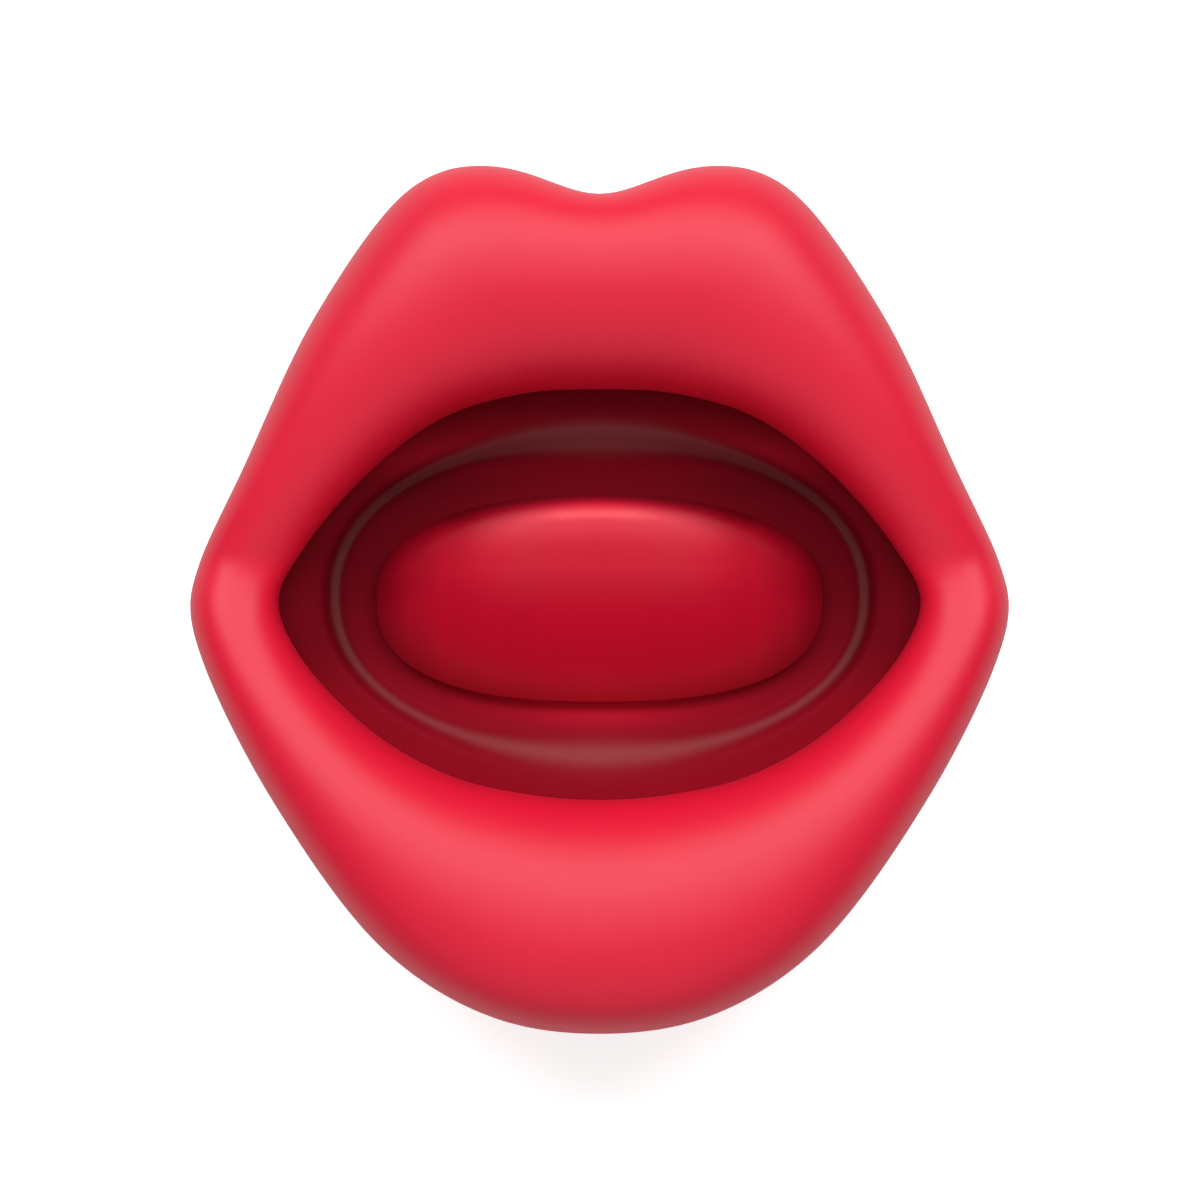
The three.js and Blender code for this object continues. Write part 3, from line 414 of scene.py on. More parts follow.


# Painted shade darkens the colour along an axis, and endX is the distance from the middle. The mesh's painted
# highlight mask adds a painted highlight colour, and its painted light-and-shade mask multiplies in a factor
# that paints light on the liner and shade on the tongue.
looks = dict(
    lips=dict(colour=[0.86, 0.008, 0.042, 1], roughness=0.45, grain=0.55, bump=0.5, depth=0.05, spread=0.03),
    # Liner: a painted highlight colour for the sheen line on its wall, a factor above 1 that paints light
    # round the tongue's rim, and painted shade along Y, darkest across the middle.
    liner=dict(colour=[0.26, 0.0042, 0.0143, 1], roughness=0.5, specular=0.02, grain=0.5, bump=0.3,
               spread=0.04, wear=[0.062, 0.049, 0.047, 1], tint=[2.8, 2.8, 2.8, 1],
               shading=[("Y", [(-45, 1.0), (-27, 0.95), (-8, 0.56), (8, 0.52), (24, 0.6), (33, 1.0),
                               (39, 0.84), (45, 0.76)])]),
    # Tongue: a painted highlight colour for its crescent and its lower-rim sheen, a factor below 1 that
    # paints shade at its upper rim, and painted shade towards the bottom and both ends.
    tongue=dict(colour=[0.74, 0.0065, 0.033, 1], roughness=0.45, specular=0.02, grain=0.5, bump=0.3,
                spread=0.03, wear=[0.16, 0.07, 0.07, 1], tint=[0.2, 0.2, 0.2, 1], coatRoughness=0.45,
                shading=[("Y", [(-22, 0.7), (-14, 0.71), (0, 0.76), (8, 0.88), (20, 1.0)]),
                         ("endX", [(0, 1.0), (22, 0.94), (34, 0.84), (42, 0.68), (49, 0.48)])],
                coatShading=[("Y", [(-5, 0.0), (8, 0.5)]), ("endX", [(0, 1.0), (16, 1.0), (34, 0.1)])]),
    cover=dict(colour=[0.62, 0.010, 0.035, 1], roughness=0.55, grain=0.9, bump=0.5, depth=0.08),
    keys=dict(colour=linear(240, 234, 222), roughness=0.35, grain=0.3, bump=0.1),
    featureKeys=dict(colour=linear(150, 152, 156), roughness=0.4, grain=0.3, bump=0.1),
    numerals=dict(colour=linear(46, 44, 48), roughness=0.5, grain=0.2, bump=0.05),
    rubber=dict(colour=linear(38, 38, 40), roughness=0.85, grain=0.3, bump=0.3, specular=0.3),
    mat=dict(colour=linear(150, 152, 155), roughness=0.8, grain=0.5, bump=0.2),
    board=dict(colour=linear(38, 105, 62), roughness=0.4, grain=0.8, bump=0.2, spread=0.2, blotch=3.0),
    black=dict(colour=linear(34, 34, 36), roughness=0.45, grain=0.35, bump=0.2),
    spring=dict(colour=linear(196, 198, 202), roughness=0.28, metallic=1.0, grain=0.4, blotch=2.0),
    zinc=dict(colour=linear(204, 206, 208), roughness=0.32, metallic=1.0, grain=0.25, blotch=3.0, spread=0.1),
    brass=dict(colour=linear(214, 180, 102), roughness=0.3, metallic=1.0, grain=0.3, blotch=4.0),
    iron=dict(colour=linear(92, 92, 95), roughness=0.6, metallic=1.0, grain=1.1, bump=0.6, depth=0.1),
    lead=dict(colour=linear(150, 30, 38), roughness=0.4, grain=0.6, bump=0.1),
    gold=dict(colour=linear(236, 196, 108), roughness=0.2, metallic=1.0, grain=0.3),
)
materials = {name: makeMaterial(name, look) for name, look in looks.items()}
print("materials made:", len(materials))


# The floor shows white to the camera and keeps the object's shadow
def makeFloor():
    half, below = 6.0, 0.0002  # metres
    mesh = bpy.data.meshes.new("floor")
    corners = [(-half, -half, 0), (half, -half, 0), (half, half, 0), (-half, half, 0)]
    mesh.from_pydata(corners, [], [(0, 1, 2, 3)])
    floor = linkObject("floor", mesh)
    floor.location.z = -below
    material = bpy.data.materials.new("floorWhite")
    material.use_nodes = True
    tree = material.node_tree
    pale = {"Base Color": (0.86, 0.86, 0.86, 1), "Roughness": 0.9, "Specular IOR Level": 0.0}
    shader = setInputs(tree, tree.nodes["Principled BSDF"], pale)
    glow = addNode(tree, "ShaderNodeEmission", {"Strength": 0.7})
    both = addNode(tree, "ShaderNodeAddShader", {0: shader.outputs[0], 1: glow.outputs[0]})
    setInputs(tree, tree.nodes["Material Output"], {"Surface": addCameraPick(tree, both, shader)})
    paint(floor, material)


makeFloor()


# Right halves of the outlines from top to bottom, as shares of the half width and half length
lipsOutline = [
    (0, 1.0062), (0.271, 1.0062), (0.392, 0.982), (0.494, 0.917), (0.698, 0.644), (0.872, 0.297),
    (0.979, 0.078), (1, -0.019), (0.97, -0.142), (0.796, -0.467), (0.517, -0.815), (0.261, -0.962), (0, -1),
]
mouthOutline = [
    (0, 1), (0.236, 0.98), (0.48, 0.868), (0.707, 0.612), (0.92, 0.228), (1, -0.026),
    (0.94, -0.284), (0.709, -0.666), (0.462, -0.885), (0.221, -0.974), (0, -1),
]
body = dict(width=184.2, length=195.2, mouthWidth=144.2, mouthLength=92.2, mouthY=0.8, bowDepth=7.5,
            bowWidth=0.178)
aroundSteps = 320
around = np.arange(aroundSteps) / aroundSteps * 2 * math.pi


# A closed centripetal spline through points
def splinePoints(control, perSpan=60):
    control = np.array(control, float)
    count = len(control)
    points = []
    for i in range(count):
        p = [control[(i + k) % count] for k in (-1, 0, 1, 2)]
        d = [math.sqrt(np.linalg.norm(p[k + 1] - p[k])) for k in range(3)]
        leave = ((p[1] - p[0]) / d[0] - (p[2] - p[0]) / (d[0] + d[1]) + (p[2] - p[1]) / d[1]) * d[1]
        arrive = ((p[2] - p[1]) / d[1] - (p[3] - p[1]) / (d[1] + d[2]) + (p[3] - p[2]) / d[2]) * d[1]
        for s in np.linspace(0, 1, perSpan, endpoint=False):
            a, b = 2 * s**3 - 3 * s**2 + 1, s**3 - 2 * s**2 + s
            points.append(a * p[1] + b * leave + (1 - a) * p[2] + (s**3 - s**2) * arrive)
    return np.array(points)


# The x and y of an outline on rays from the middle of the mouth
def outlineAt(shares, width, length, centreY, grow, angles=around):
    right = [(x * (width / 2 + grow), centreY + y * (length / 2 + grow)) for x, y in shares]
    left = [(-x, y) for x, y in reversed(right[1:-1])]
    points = splinePoints(right + left) - [0, body["mouthY"]]
    turns = np.arctan2(points[:, 1], points[:, 0])
    order = np.argsort(turns)
    radii = np.hypot(points[:, 0], points[:, 1])
    radius = np.interp(angles, turns[order], radii[order], period=2 * math.pi)
    return np.stack([radius * np.cos(angles), body["mouthY"] + radius * np.sin(angles)])


# The lips' outline, with some share of the dip in its upper lip
def lipsEdge(grow, dipShare=1, angles=around):
    c, s = np.cos(angles), np.sin(angles)
    dip = np.where(s > 0, dipShare * body["bowDepth"] * np.exp(-((c / body["bowWidth"]) ** 2)), 0)
    return outlineAt(lipsOutline, body["width"], body["length"], 0, grow, angles) - dip * np.stack([c, s])


def mouthEdge(grow, angles=around):
    return outlineAt(mouthOutline, body["mouthWidth"], body["mouthLength"], body["mouthY"], grow, angles)


# A rounded oval on the same rays, where a power of 2 is an ellipse. Its lower half may be fuller.
def ovalAt(width, length, centreY, power, lowerPower=None, angles=around):
    c, s = np.cos(angles), np.sin(angles)
    power = np.where(s > 0, power, lowerPower or power)
    radius = (np.abs(c / (width / 2)) ** power + np.abs(s / (length / 2)) ** power) ** (-1 / power)
    return np.stack([radius * c, centreY + radius * s])


def levelRing(curve, height):
    heights = np.broadcast_to(height, curve.shape[1])
    return np.stack([curve[0], curve[1], heights], axis=1).tolist()


lips = dict(upper=62.0, lower=64.0, corner=43.0, crease=0.08, creaseSoft=0.04, crestPower=0.75, bowFade=2.5,
            mouthLevel=36.0, cornerPlace=0.47, placeShift=0.065, crownPower=1.9, flankPower=5.5,
            flankShift=1.0, innerPower=3.0, wall=2.5, low=24.3, linerTop=35.1, seam=0.5, skinSteps=72,
            innerSteps=24, postRadius=3.8, boreRadius=1.9, boreTop=35.3)


# How high the lips stand round the mouth, lowest at a crease just above each corner
def crestHeight():
    s = np.sin(around)
    above = s > lips["crease"]
    reach = np.where(above, 1 - lips["crease"], 1 + lips["crease"])
    along = np.minimum(np.hypot((s - lips["crease"]) / reach, lips["creaseSoft"]), 1)
    top = np.where(above, lips["upper"], lips["lower"])
    return lips["corner"] + (top - lips["corner"]) * along ** lips["crestPower"]


# Rings from the outline, over the crest, to the mouth
def skinRings(steps, inset):
    s = np.sin(around)
    place = lips["cornerPlace"] + lips["placeShift"] * s
    flank = lips["flankPower"] - lips["flankShift"] * s
    inner = mouthEdge(inset)
    crest = crestHeight() - inset
    rings = []
    for i in range(steps + 1):
        turn = i / steps * math.pi
        before = turn < math.pi / 2
        out = abs(math.cos(turn)) ** (2 / lips["crownPower"])  # 1 at either edge and 0 on the crest
        up = max(math.sin(turn), 0)
        outer = lipsEdge(-inset, out ** lips["bowFade"] if before else 0)
        share = place * (1 - out) if before else place + (1 - place) * out
        base = lips["low"] if before else lips["mouthLevel"]
        rise = up ** (2 / flank) if before else up ** (2 / lips["innerPower"])
        rings.append(levelRing(outer + (inner - outer) * share, base + (crest - base) * rise))
    return rings


# Six posts under the skin, bored for the case screws
def makeLipPosts():
    low, wall = lips["low"], lips["wall"] / 2
    radius, bore = lips["postRadius"], lips["boreRadius"]
    posts = []
    for name in screwNames:
        x, y = places[name]
        post = turnedPiece("post", [(radius, low), (radius, lips["lower"])], x, y, sides=32)
        tool = turnedPiece("tool", [(bore, low - 1), (bore, lips["boreTop"])], x, y, sides=24)
        posts.append(combine(post, tool, "DIFFERENCE"))
    skin = skinRings(lips["innerSteps"], wall)
    filled = ringMesh("tool", [*skin, levelRing(mouthEdge(wall), low)], hollow=True)
    return combine(joinPieces("posts", posts), filled, "INTERSECT")


def makeLips():
    low, seam, top = lips["low"], lips["seam"], lips["linerTop"]
    start = [levelRing(lipsEdge(-lips["wall"]), low), levelRing(lipsEdge(-seam), low)]
    skin = skinRings(lips["skinSteps"], 0)
    skin[0] = levelRing(lipsEdge(0), low + seam)
    edge = [levelRing(mouthEdge(0), top), levelRing(mouthEdge(lips["wall"]), top)]
    inside = skinRings(lips["innerSteps"], lips["wall"])[::-1]
    shell = ringMesh("lipsSkin", start + skin + edge + inside[:-1], hollow=True)
    return joinPieces("lips", [shell, makeLipPosts()])


lipsPiece = makeLips()
finishPiece(lipsPiece, "lips", "case", "lips_plastic", "lips_shell", angle=60)
print("lips made:", len(lipsPiece.data.polygons), "faces")


# The tongue is a crown on a thin wall, with a stem and two spring cups under it. Its painted highlight is
# a light patch at the crest with painted sheen at its lower rim, and its painted shade the fade at the upper
# rim.
# It stands here because the liner's painted light round its rim reads its size.
tongue = dict(width=100.6, length=46.6, centreY=0.0, power=2.3, lowerPower=2.55, crest=40.0, crestY=12.4,
              drop=7.4, dropShift=3.2, edgeRounding=1.7, endRounding=3.6, endFrom=0.72, low=27.3,
              rimHeight=0.3, rimRoom=0.05, wall=2.5, steps=72, stemY=-0.2, stemRadius=5.0, stemLow=19.5,
              stemEdge=0.3, neckRadius=3.6, neckLow=19.9, neckHigh=22.2, cupX=28.0, cupRadius=6.2,
              cupLow=29.3, pocketRadius=4.55, pocketTop=33.1, wearAt=0.6, wearWidth=0.07, wearReach=0.45,
              wearFade=0.2, rimWear=0.14, rimWearFrom=0.75, rimWearFade=0.2, fadeFrom=0.7, fadeShift=0.25,
              shadeStart=0.12, shadeFade=0.55)
# The liner is a cup in a flange. Its painted highlight is a band of painted sheen on the cup's wall, and
# painted light brightens its floor round the tongue's rim.
liner = dict(width=120.6, length=71.0, centreY=0.5, power=2.15, wall=2.0, flangeTop=35.0, tuck=2.0,
             floorTop=24.0, sideBand=1.6, endBand=4.6, bandPower=5, wallReach=3, holeRadius=5.4, tongueY=-0.2,
             steps=48, floorSteps=24, sideWearAt=-0.6, endWearAt=0.3, sideWear=0.52, endWear=1.9,
             wearBoost=0.9, boostFrom=0.6, glowReach=0.14, glowSide=0.1, glowBelow=0.9, glowAbove=0.15,
             pegX=28.0, pegRadius=2.6, pegTop=29.3, pegEdge=0.5)


def cupAt(grow):
    return ovalAt(liner["width"] + 2 * grow, liner["length"] + 2 * grow, liner["centreY"], liner["power"])


# Painted light on the liner round the tongue's rim, strongest below it, where the tongue casts its shadow
def paintedFloorLight(curve):
    across, along = curve[0] / tongue["width"] * 2, (curve[1] - tongue["centreY"]) / tongue["length"] * 2
    near = np.exp(-0.5 * ((np.hypot(across, along) - 1) / liner["glowReach"]) ** 2)
    s = np.sin(around)
    below, above = liner["glowBelow"] * np.maximum(-s, 0), liner["glowAbove"] * np.maximum(s, 0)
    return near * (liner["glowSide"] + below + above)


# The cup's steep wall is narrow at the sides and broader above and below the tongue. Two pegs in its floor
# hold the tongue's springs.
def makeLiner():
    top, floorTop, reach = liner["flangeTop"], liner["floorTop"], liner["wallReach"]
    hole = ovalAt(2 * liner["holeRadius"], 2 * liner["holeRadius"], liner["tongueY"], 2)
    end = np.abs(np.sin(around))
    broad = liner["sideBand"] + (liner["endBand"] - liner["sideBand"]) * end ** liner["bandPower"]
    # A band of painted sheen on the steep wall, narrow at the sides, broader above and below, and stronger
    # towards the top
    wearAt = liner["sideWearAt"] + (liner["endWearAt"] - liner["sideWearAt"]) * end**2
    paintedBand = liner["sideWear"] + (liner["endWear"] - liner["sideWear"]) * end**4
    strength = 1 + liner["wearBoost"] * np.clip(liner["boostFrom"] + np.sin(around), 0, 1)
    cup = cupAt(0)
    centre = np.array([[0], [liner["centreY"]]])
    unit = (cup - centre) / np.linalg.norm(cup - centre, axis=0)
    flange = mouthEdge(liner["tuck"])
    rings = [levelRing(flange, top)]
    wear, shade = [np.zeros(aroundSteps)], [np.zeros(aroundSteps)]
    for i in range(liner["steps"] + 1):
        across = reach * (1 - 2 * i / liner["steps"])
        fall = (1 - math.tanh(across)) / 2
        curve = cup + unit * across * broad
        rings.append(levelRing(curve, top - (top - floorTop) * fall))
        wear.append(np.exp(-0.5 * ((across * broad - wearAt) / paintedBand) ** 2) * strength)
        # painted light round the tongue's rim
        shade.append(paintedFloorLight(curve))
    foot = cup - unit * reach * broad
    for i in range(1, liner["floorSteps"] + 1):
        curve = foot + (hole - foot) * i / liner["floorSteps"]
        rings.append(levelRing(curve, floorTop))
        shade.append(paintedFloorLight(curve))
    below, flangeLow = floorTop - liner["wall"], top - liner["wall"]
    rings.append(levelRing(hole, below))
    # the cup's outside, from its floor up to the flange
    for out, height in [(-3, below), (1, below + 4), (3, flangeLow - 4), (7, flangeLow)]:
        rings.append(levelRing(cupAt(out), height))
    rings.append(levelRing(flange, flangeLow))
    shell = ringMesh("linerCup", rings, hollow=True, masks=dict(wear=wear, shade=shade))
    radius, pegTop, edge = liner["pegRadius"], liner["pegTop"], liner["pegEdge"]
    profile = [(radius, floorTop - 1), (radius, pegTop - edge), (radius - edge, pegTop)]
    pegs = [turnedPiece("peg", profile, side * liner["pegX"], liner["tongueY"], sides=24) for side in (-1, 1)]
    return joinPieces("mouthLiner", [shell, *pegs])


linerPiece = makeLiner()
finishPiece(linerPiece, "liner", "case", "liner_plastic", "mouth_liner", angle=50)
print("liner made:", len(linerPiece.data.polygons), "faces")


# Rings of the pad's crown from its rim to its crest, which lies towards the upper lip
def padRings(inset):
    c, s = np.cos(around), np.sin(around)
    rings = []
    for i in range(tongue["steps"]):
        share = math.cos(i / tongue["steps"] * math.pi / 2)
        width, length = [(tongue[key] - 2 * inset) * share for key in ("width", "length")]
        centreY = tongue["centreY"] + (1 - share) * tongue["crestY"]
        ending = max(share - tongue["endFrom"], 0) / (1 - tongue["endFrom"])
        drop = (tongue["drop"] - tongue["dropShift"] * s) * share**2
        rimLow = tongue["low"] + tongue["rimHeight"]
        room = tongue["crest"] - tongue["drop"] + tongue["dropShift"] * s - rimLow - tongue["rimRoom"]
        rounding = np.minimum(tongue["edgeRounding"] + tongue["endRounding"] * c**2, room)
        height = tongue["crest"] - inset - drop - rounding * ending**3
        curve = ovalAt(width, length, centreY, tongue["power"], tongue["lowerPower"])
        rings.append(levelRing(curve, np.maximum(height, rimLow)))
    return rings


# What hangs under the crown, kept inside it: a stem with a neck for its clip, and a cup for each spring
def makeTongueWorks():
    stem, neck, edge = tongue["stemRadius"], tongue["neckRadius"], tongue["stemEdge"]
    low, crest = tongue["stemLow"], tongue["crest"]
    profile = [(stem - edge, low), (stem, low + edge), (stem, tongue["neckLow"]), (neck, tongue["neckLow"]),
               (neck, tongue["neckHigh"]), (stem, tongue["neckHigh"]), (stem, crest)]
    works = [turnedPiece("stem", profile, 0, tongue["stemY"])]
    cup, pocket = tongue["cupRadius"], tongue["pocketRadius"]
    for side in (-1, 1):
        place = (side * tongue["cupX"], tongue["stemY"])
        outside = turnedPiece("cup", [(cup, tongue["cupLow"]), (cup, crest)], *place)
        tool = turnedPiece("tool", [(pocket, tongue["cupLow"] - 1), (pocket, tongue["pocketTop"])], *place)
        works.append(combine(outside, tool, "DIFFERENCE"))
    crown = padRings(tongue["wall"] / 2)
    bottom = levelRing(np.array(crown[0]).T[:2], low - 1)
    filled = ringMesh("tool", [bottom, *crown])
    return combine(joinPieces("works", works), filled, "INTERSECT")


def makeTongue():
    crown, inside = padRings(0), padRings(tongue["wall"])
    rims = [levelRing(np.array(rings[0]).T[:2], tongue["low"]) for rings in (crown, inside)]
    outside = crown[::-1] + rims
    c, s = np.cos(around), np.sin(around)
    # Painted shade fades the upper rim. The painted highlight is a crescent near the crest, with painted
    # sheen at the lower rim.
    above = np.clip(tongue["shadeStart"] + s / tongue["shadeFade"], 0, 1)
    ends = np.maximum(np.abs(c) - tongue["wearReach"], 0) / tongue["wearFade"]
    fadeFrom = tongue["fadeFrom"] - tongue["fadeShift"] * c**2
    wear, shade = [], []
    for i in range(tongue["steps"]):
        share = math.cos(i / tongue["steps"] * math.pi / 2)
        away = np.hypot((share - tongue["wearAt"]) / tongue["wearWidth"], ends)
        reach = np.clip((share - tongue["rimWearFrom"]) / tongue["rimWearFade"], 0, 1)
        rim = tongue["rimWear"] * reach * np.clip(-2 * s, 0, 1)
        wear.append(np.where(s > 0, np.exp(-0.5 * away**2), rim))
        fade = np.clip((share - fadeFrom) / (1 - fadeFrom), 0, 1)
        shade.append(fade * fade * (3 - 2 * fade) * above)
    shade = shade[::-1] + [above] * len(rims)
    shell = ringMesh("tongueShell", outside + inside, masks=dict(wear=wear[::-1], shade=shade))
    return joinPieces("tonguePad", [shell, makeTongueWorks()])


tonguePiece = makeTongue()
finishPiece(tonguePiece, "tongue", "tongue", "tongue_plastic", "tongue_button", angle=50)
print("tongue made:", len(tonguePiece.data.polygons), "faces")


# An empty Geometry Nodes tree with named inputs, each with its socket type and plain value
def newTree(name, inputs):
    tree = bpy.data.node_groups.new(name, "GeometryNodeTree")
    tree.interface.new_socket("Geometry", in_out="INPUT", socket_type="NodeSocketGeometry")
    for label, kind, value in inputs + [("Material", "Material", None)]:
        socket = tree.interface.new_socket(label, in_out="INPUT", socket_type="NodeSocket" + kind)
        if value is not None:
            socket.default_value = value
    tree.interface.new_socket("Geometry", in_out="OUTPUT", socket_type="NodeSocketGeometry")
    return tree, addNode(tree, "NodeGroupInput").outputs


# Ends a tree with one shape on every point, made real and given its material
def endTree(tree, given, points, shape):
    copies = addNode(tree, "GeometryNodeInstanceOnPoints", {"Points": points, "Instance": shape})
    real = addNode(tree, "GeometryNodeRealizeInstances", {"Geometry": copies.outputs["Instances"]})
    painting = {"Geometry": real.outputs["Geometry"], "Material": given["Material"]}
    painted = addNode(tree, "GeometryNodeSetMaterial", painting)
    addNode(tree, "NodeGroupOutput", {"Geometry": painted.outputs["Geometry"]})
    return tree


# A round rod on every point, such as the tools that cut perforations
def makeRods():
    tree, given = newTree("rods", [("Radius", "Float", 1 * mm), ("Depth", "Float", 6 * mm)])
    sizes = {"Vertices": 20, "Radius": given["Radius"], "Depth": given["Depth"]}
    rod = addNode(tree, "GeometryNodeMeshCylinder", sizes)
    return endTree(tree, given, given["Geometry"], rod.outputs["Mesh"])


# The same shape on every point, such as a screw
def makeRepeats():
    tree, given = newTree("repeats", [("Shape", "Object", None)])
    shape = addNode(tree, "GeometryNodeObjectInfo", {"Object": given["Shape"]})
    return endTree(tree, given, given["Geometry"], shape.outputs["Geometry"])


# Bars in a row, such as the ribs of a knob
def makeBarRow():
    tree, given = newTree("barRow", [("Count", "Int", 5), ("Pitch", "Vector", (1 * mm, 0, 0)),
                                     ("Bar Size", "Vector", (mm, mm, mm)), ("Start", "Vector", (0, 0, 0))])
    steps = {"Count": given["Count"], "Start Location": given["Start"], "Offset": given["Pitch"]}
    row = addNode(tree, "GeometryNodeMeshLine", steps)
    bar = addNode(tree, "GeometryNodeMeshCube", {"Size": given["Bar Size"]})
    return endTree(tree, given, row.outputs["Mesh"], bar.outputs["Mesh"])


# A wire wound into a coil that rises from every point, such as a spring
def makeCoil():
    tree, given = newTree("coil", [("Turns", "Float", 5.0), ("Radius", "Float", 3.6 * mm),
                                   ("Height", "Float", 6 * mm), ("Wire", "Float", 0.35 * mm)])
    sizes = {"Resolution": 28, "Rotations": given["Turns"], "Start Radius": given["Radius"],
             "End Radius": given["Radius"], "Height": given["Height"]}
    path = addNode(tree, "GeometryNodeCurveSpiral", sizes)
    section = addNode(tree, "GeometryNodeCurvePrimitiveCircle", {"Resolution": 10, "Radius": given["Wire"]})
    curves = {"Curve": path.outputs["Curve"], "Profile Curve": section.outputs["Curve"], "Fill Caps": True}
    wire = addNode(tree, "GeometryNodeCurveToMesh", curves)
    return endTree(tree, given, given["Geometry"], wire.outputs["Mesh"])


trees = dict(rods=makeRods(), repeats=makeRepeats(), barRow=makeBarRow(), coil=makeCoil())


# Runs a tree on points in millimetres with values for its named inputs, and leaves a plain mesh
def grow(name, treeName, values, points=((0, 0, 0),)):
    mesh = bpy.data.meshes.new(name)
    mesh.from_pydata([[c * mm for c in p] for p in points], [], [])
    piece = linkObject(name, mesh)
    modifier = piece.modifiers.new(treeName, "NODES")
    modifier.node_group = trees[treeName]
    for socket in trees[treeName].interface.items_tree:
        if socket.in_out == "INPUT" and socket.name in values:
            modifier[socket.identifier] = values[socket.name]
    return plainMesh(piece)


def blockPiece(name, low, high):
    corners = [(low[0], low[1]), (high[0], low[1]), (high[0], high[1]), (low[0], high[1])]
    return ringMesh(name, [[(x, y, z) for x, y in corners] for z in (low[2], high[2])])


# Places round rings about a point. Each ring is how many and at what radius.
def ringPoints(x, y, z, rings):
    points = []
    for count, reach in rings:
        for i in range(count):
            turn = 2 * math.pi * i / count
            points.append((x + reach * math.cos(turn), y + reach * math.sin(turn), z))
    return points


# Heights are from the table under the feet
cover = dict(backFace=3.0, floorTop=5.5, parting=24.0, edgeRadius=9.0, wall=2.5, rimGap=0.7, rimStep=1.5,
             rimHeight=2.0, seam=0.5, soft=0.4, sectionSteps=24, innerSteps=8, innerDrop=3, keyGap=0.4,
             boltGap=0.3, bossRoot=4.5, postRadius=2.5, rodMiddle=4, rodDepth=12)
earpiece = dict(dishRadius=19.5, dishDepth=1.2, holes=[(1, 0), (6, 5), (12, 10)], holeRadius=1.2, collar=18.4,
                collarWall=1.5, collarTop=10.5)
mouthpiece = dict(y=-69.0, holes=[(1, 0), (4, 3)], holeRadius=0.9, collar=6.95, collarWall=1.5,
                  collarTop=10.0)
ringer = dict(holes=[(1, 0), (6, 6)], holeRadius=1.1, collar=13.9, collarWall=1.5, ledge=6.5, ledgeWidth=2.5,
              collarTop=9.5)
keypad = dict(width=13.0, length=9.5, featureWidth=17.0, featureLength=7.5, corner=1.8, face=1.2, edge=0.7,
              dish=0.3, flange=1.2, flangeLow=5.8, flangeHigh=7.0, numeralSize=6.2, numeralDepth=0.1,
              numeralProud=0.03, faceRings=(0.05, 0.2, 0.35, 0.5, 0.65, 0.8, 0.92), leastCorner=0.15)
slide = dict(width=4.0, length=3.4, travel=3.0, recess=0.6, recessWidth=3.0, recessLength=2.0,
             recessCorner=1.5, plate=0.8, corner=0.4, endCorner=0.3, edge=0.25, ribCount=4, ribPitch=0.85,
             ribWidth=0.4, ribHeight=0.35, ribRoot=0.3, ribInset=0.35)
hook = dict(radius=4.5, edge=0.8, bottom=0.2, flangeRadius=6.5, flange=1.2, stemRadius=2.0, stemEdge=0.3,
            guideWall=1.5, guideTop=7.5, postX=10.5)
jack = dict(width=13.4, socketWidth=9.8, socketHeight=7.4, socketLow=10.0, socketDepth=11.5, latchWidth=4.0,
            latchDepth=1.2, padMargin=7.0, notchReach=6, notchTop=30, edge=0.5, contacts=6,
            contactPitch=1.02, contactWidth=0.4, contactFrom=3, contactDrop=1.6, contactSlope=0.14,
            contactShift=0.1)
caseScrew = dict(headRadius=3.5, headHeight=2.4, headEdge=0.9, radius=1.6, tip=1.5, sink=0.4, crossWidth=0.9,
                 crossLength=4.2, crossDepth=1.3, bossRadius=5.2, counterbore=3.8)
# The foot's dimple is [share of the radius, height] points
foot = dict(radius=5.5, studRadius=1.8, studTop=6.3, seat=2.7, edge=0.9,
            dimple=[(0.45, 0.5), (0.55, 0.1), (0.6, 0.0)])
poleRadius = 0.05  # a turned piece starts this far from its axis

keySigns = {"key_" + label: label for label in "1234567890"}
keySigns.update(key_star="*", key_hash="#")
featureKeys = ["redial_key", "flash_key"]
knobs = ["ringer_switch_knob", "dial_mode_knob"]
ear, ringerAt, hookAt = [places[name] for name in ("receiver", "ringer_disc", "hook_plunger")]
mouthAt = (0, mouthpiece["y"])
jackLow, jackHigh = boxOf("line_jack")


# The round-edged tray, from the middle of the back out to the parting line, over the rim and back inside
def makeTray():
    parting, soft = cover["parting"], cover["soft"]
    drop = parting - cover["backFace"]
    rings = []
    for i in range(cover["sectionSteps"]):
        turn = (1 - i / cover["sectionSteps"]) * math.pi / 2
        inset = cover["edgeRadius"] * (1 - math.cos(turn))
        rings.append(levelRing(lipsEdge(-inset), min(parting - drop * math.sin(turn), parting - 1)))
    rimOut = cover["wall"] + cover["rimGap"]
    rimIn = rimOut + cover["rimStep"]
    rimTop = parting + cover["rimHeight"]
    innerTop = parting - cover["innerDrop"]
    for inset, height in [(0, parting - cover["seam"]), (cover["seam"], parting), (rimOut, parting),
                          (rimOut, rimTop - soft), (rimOut + soft, rimTop), (rimIn, rimTop),
                          (rimIn, innerTop)]:
        rings.append(levelRing(lipsEdge(-inset), height))
    for i in range(1, cover["innerSteps"] + 1):
        turn = i / cover["innerSteps"] * math.pi / 2
        inset = rimIn + (cover["edgeRadius"] - cover["rimStep"]) * (1 - math.cos(turn))
        rings.append(levelRing(lipsEdge(-inset), innerTop - (innerTop - cover["floorTop"]) * math.sin(turn)))
    return ringMesh("backCover", rings)


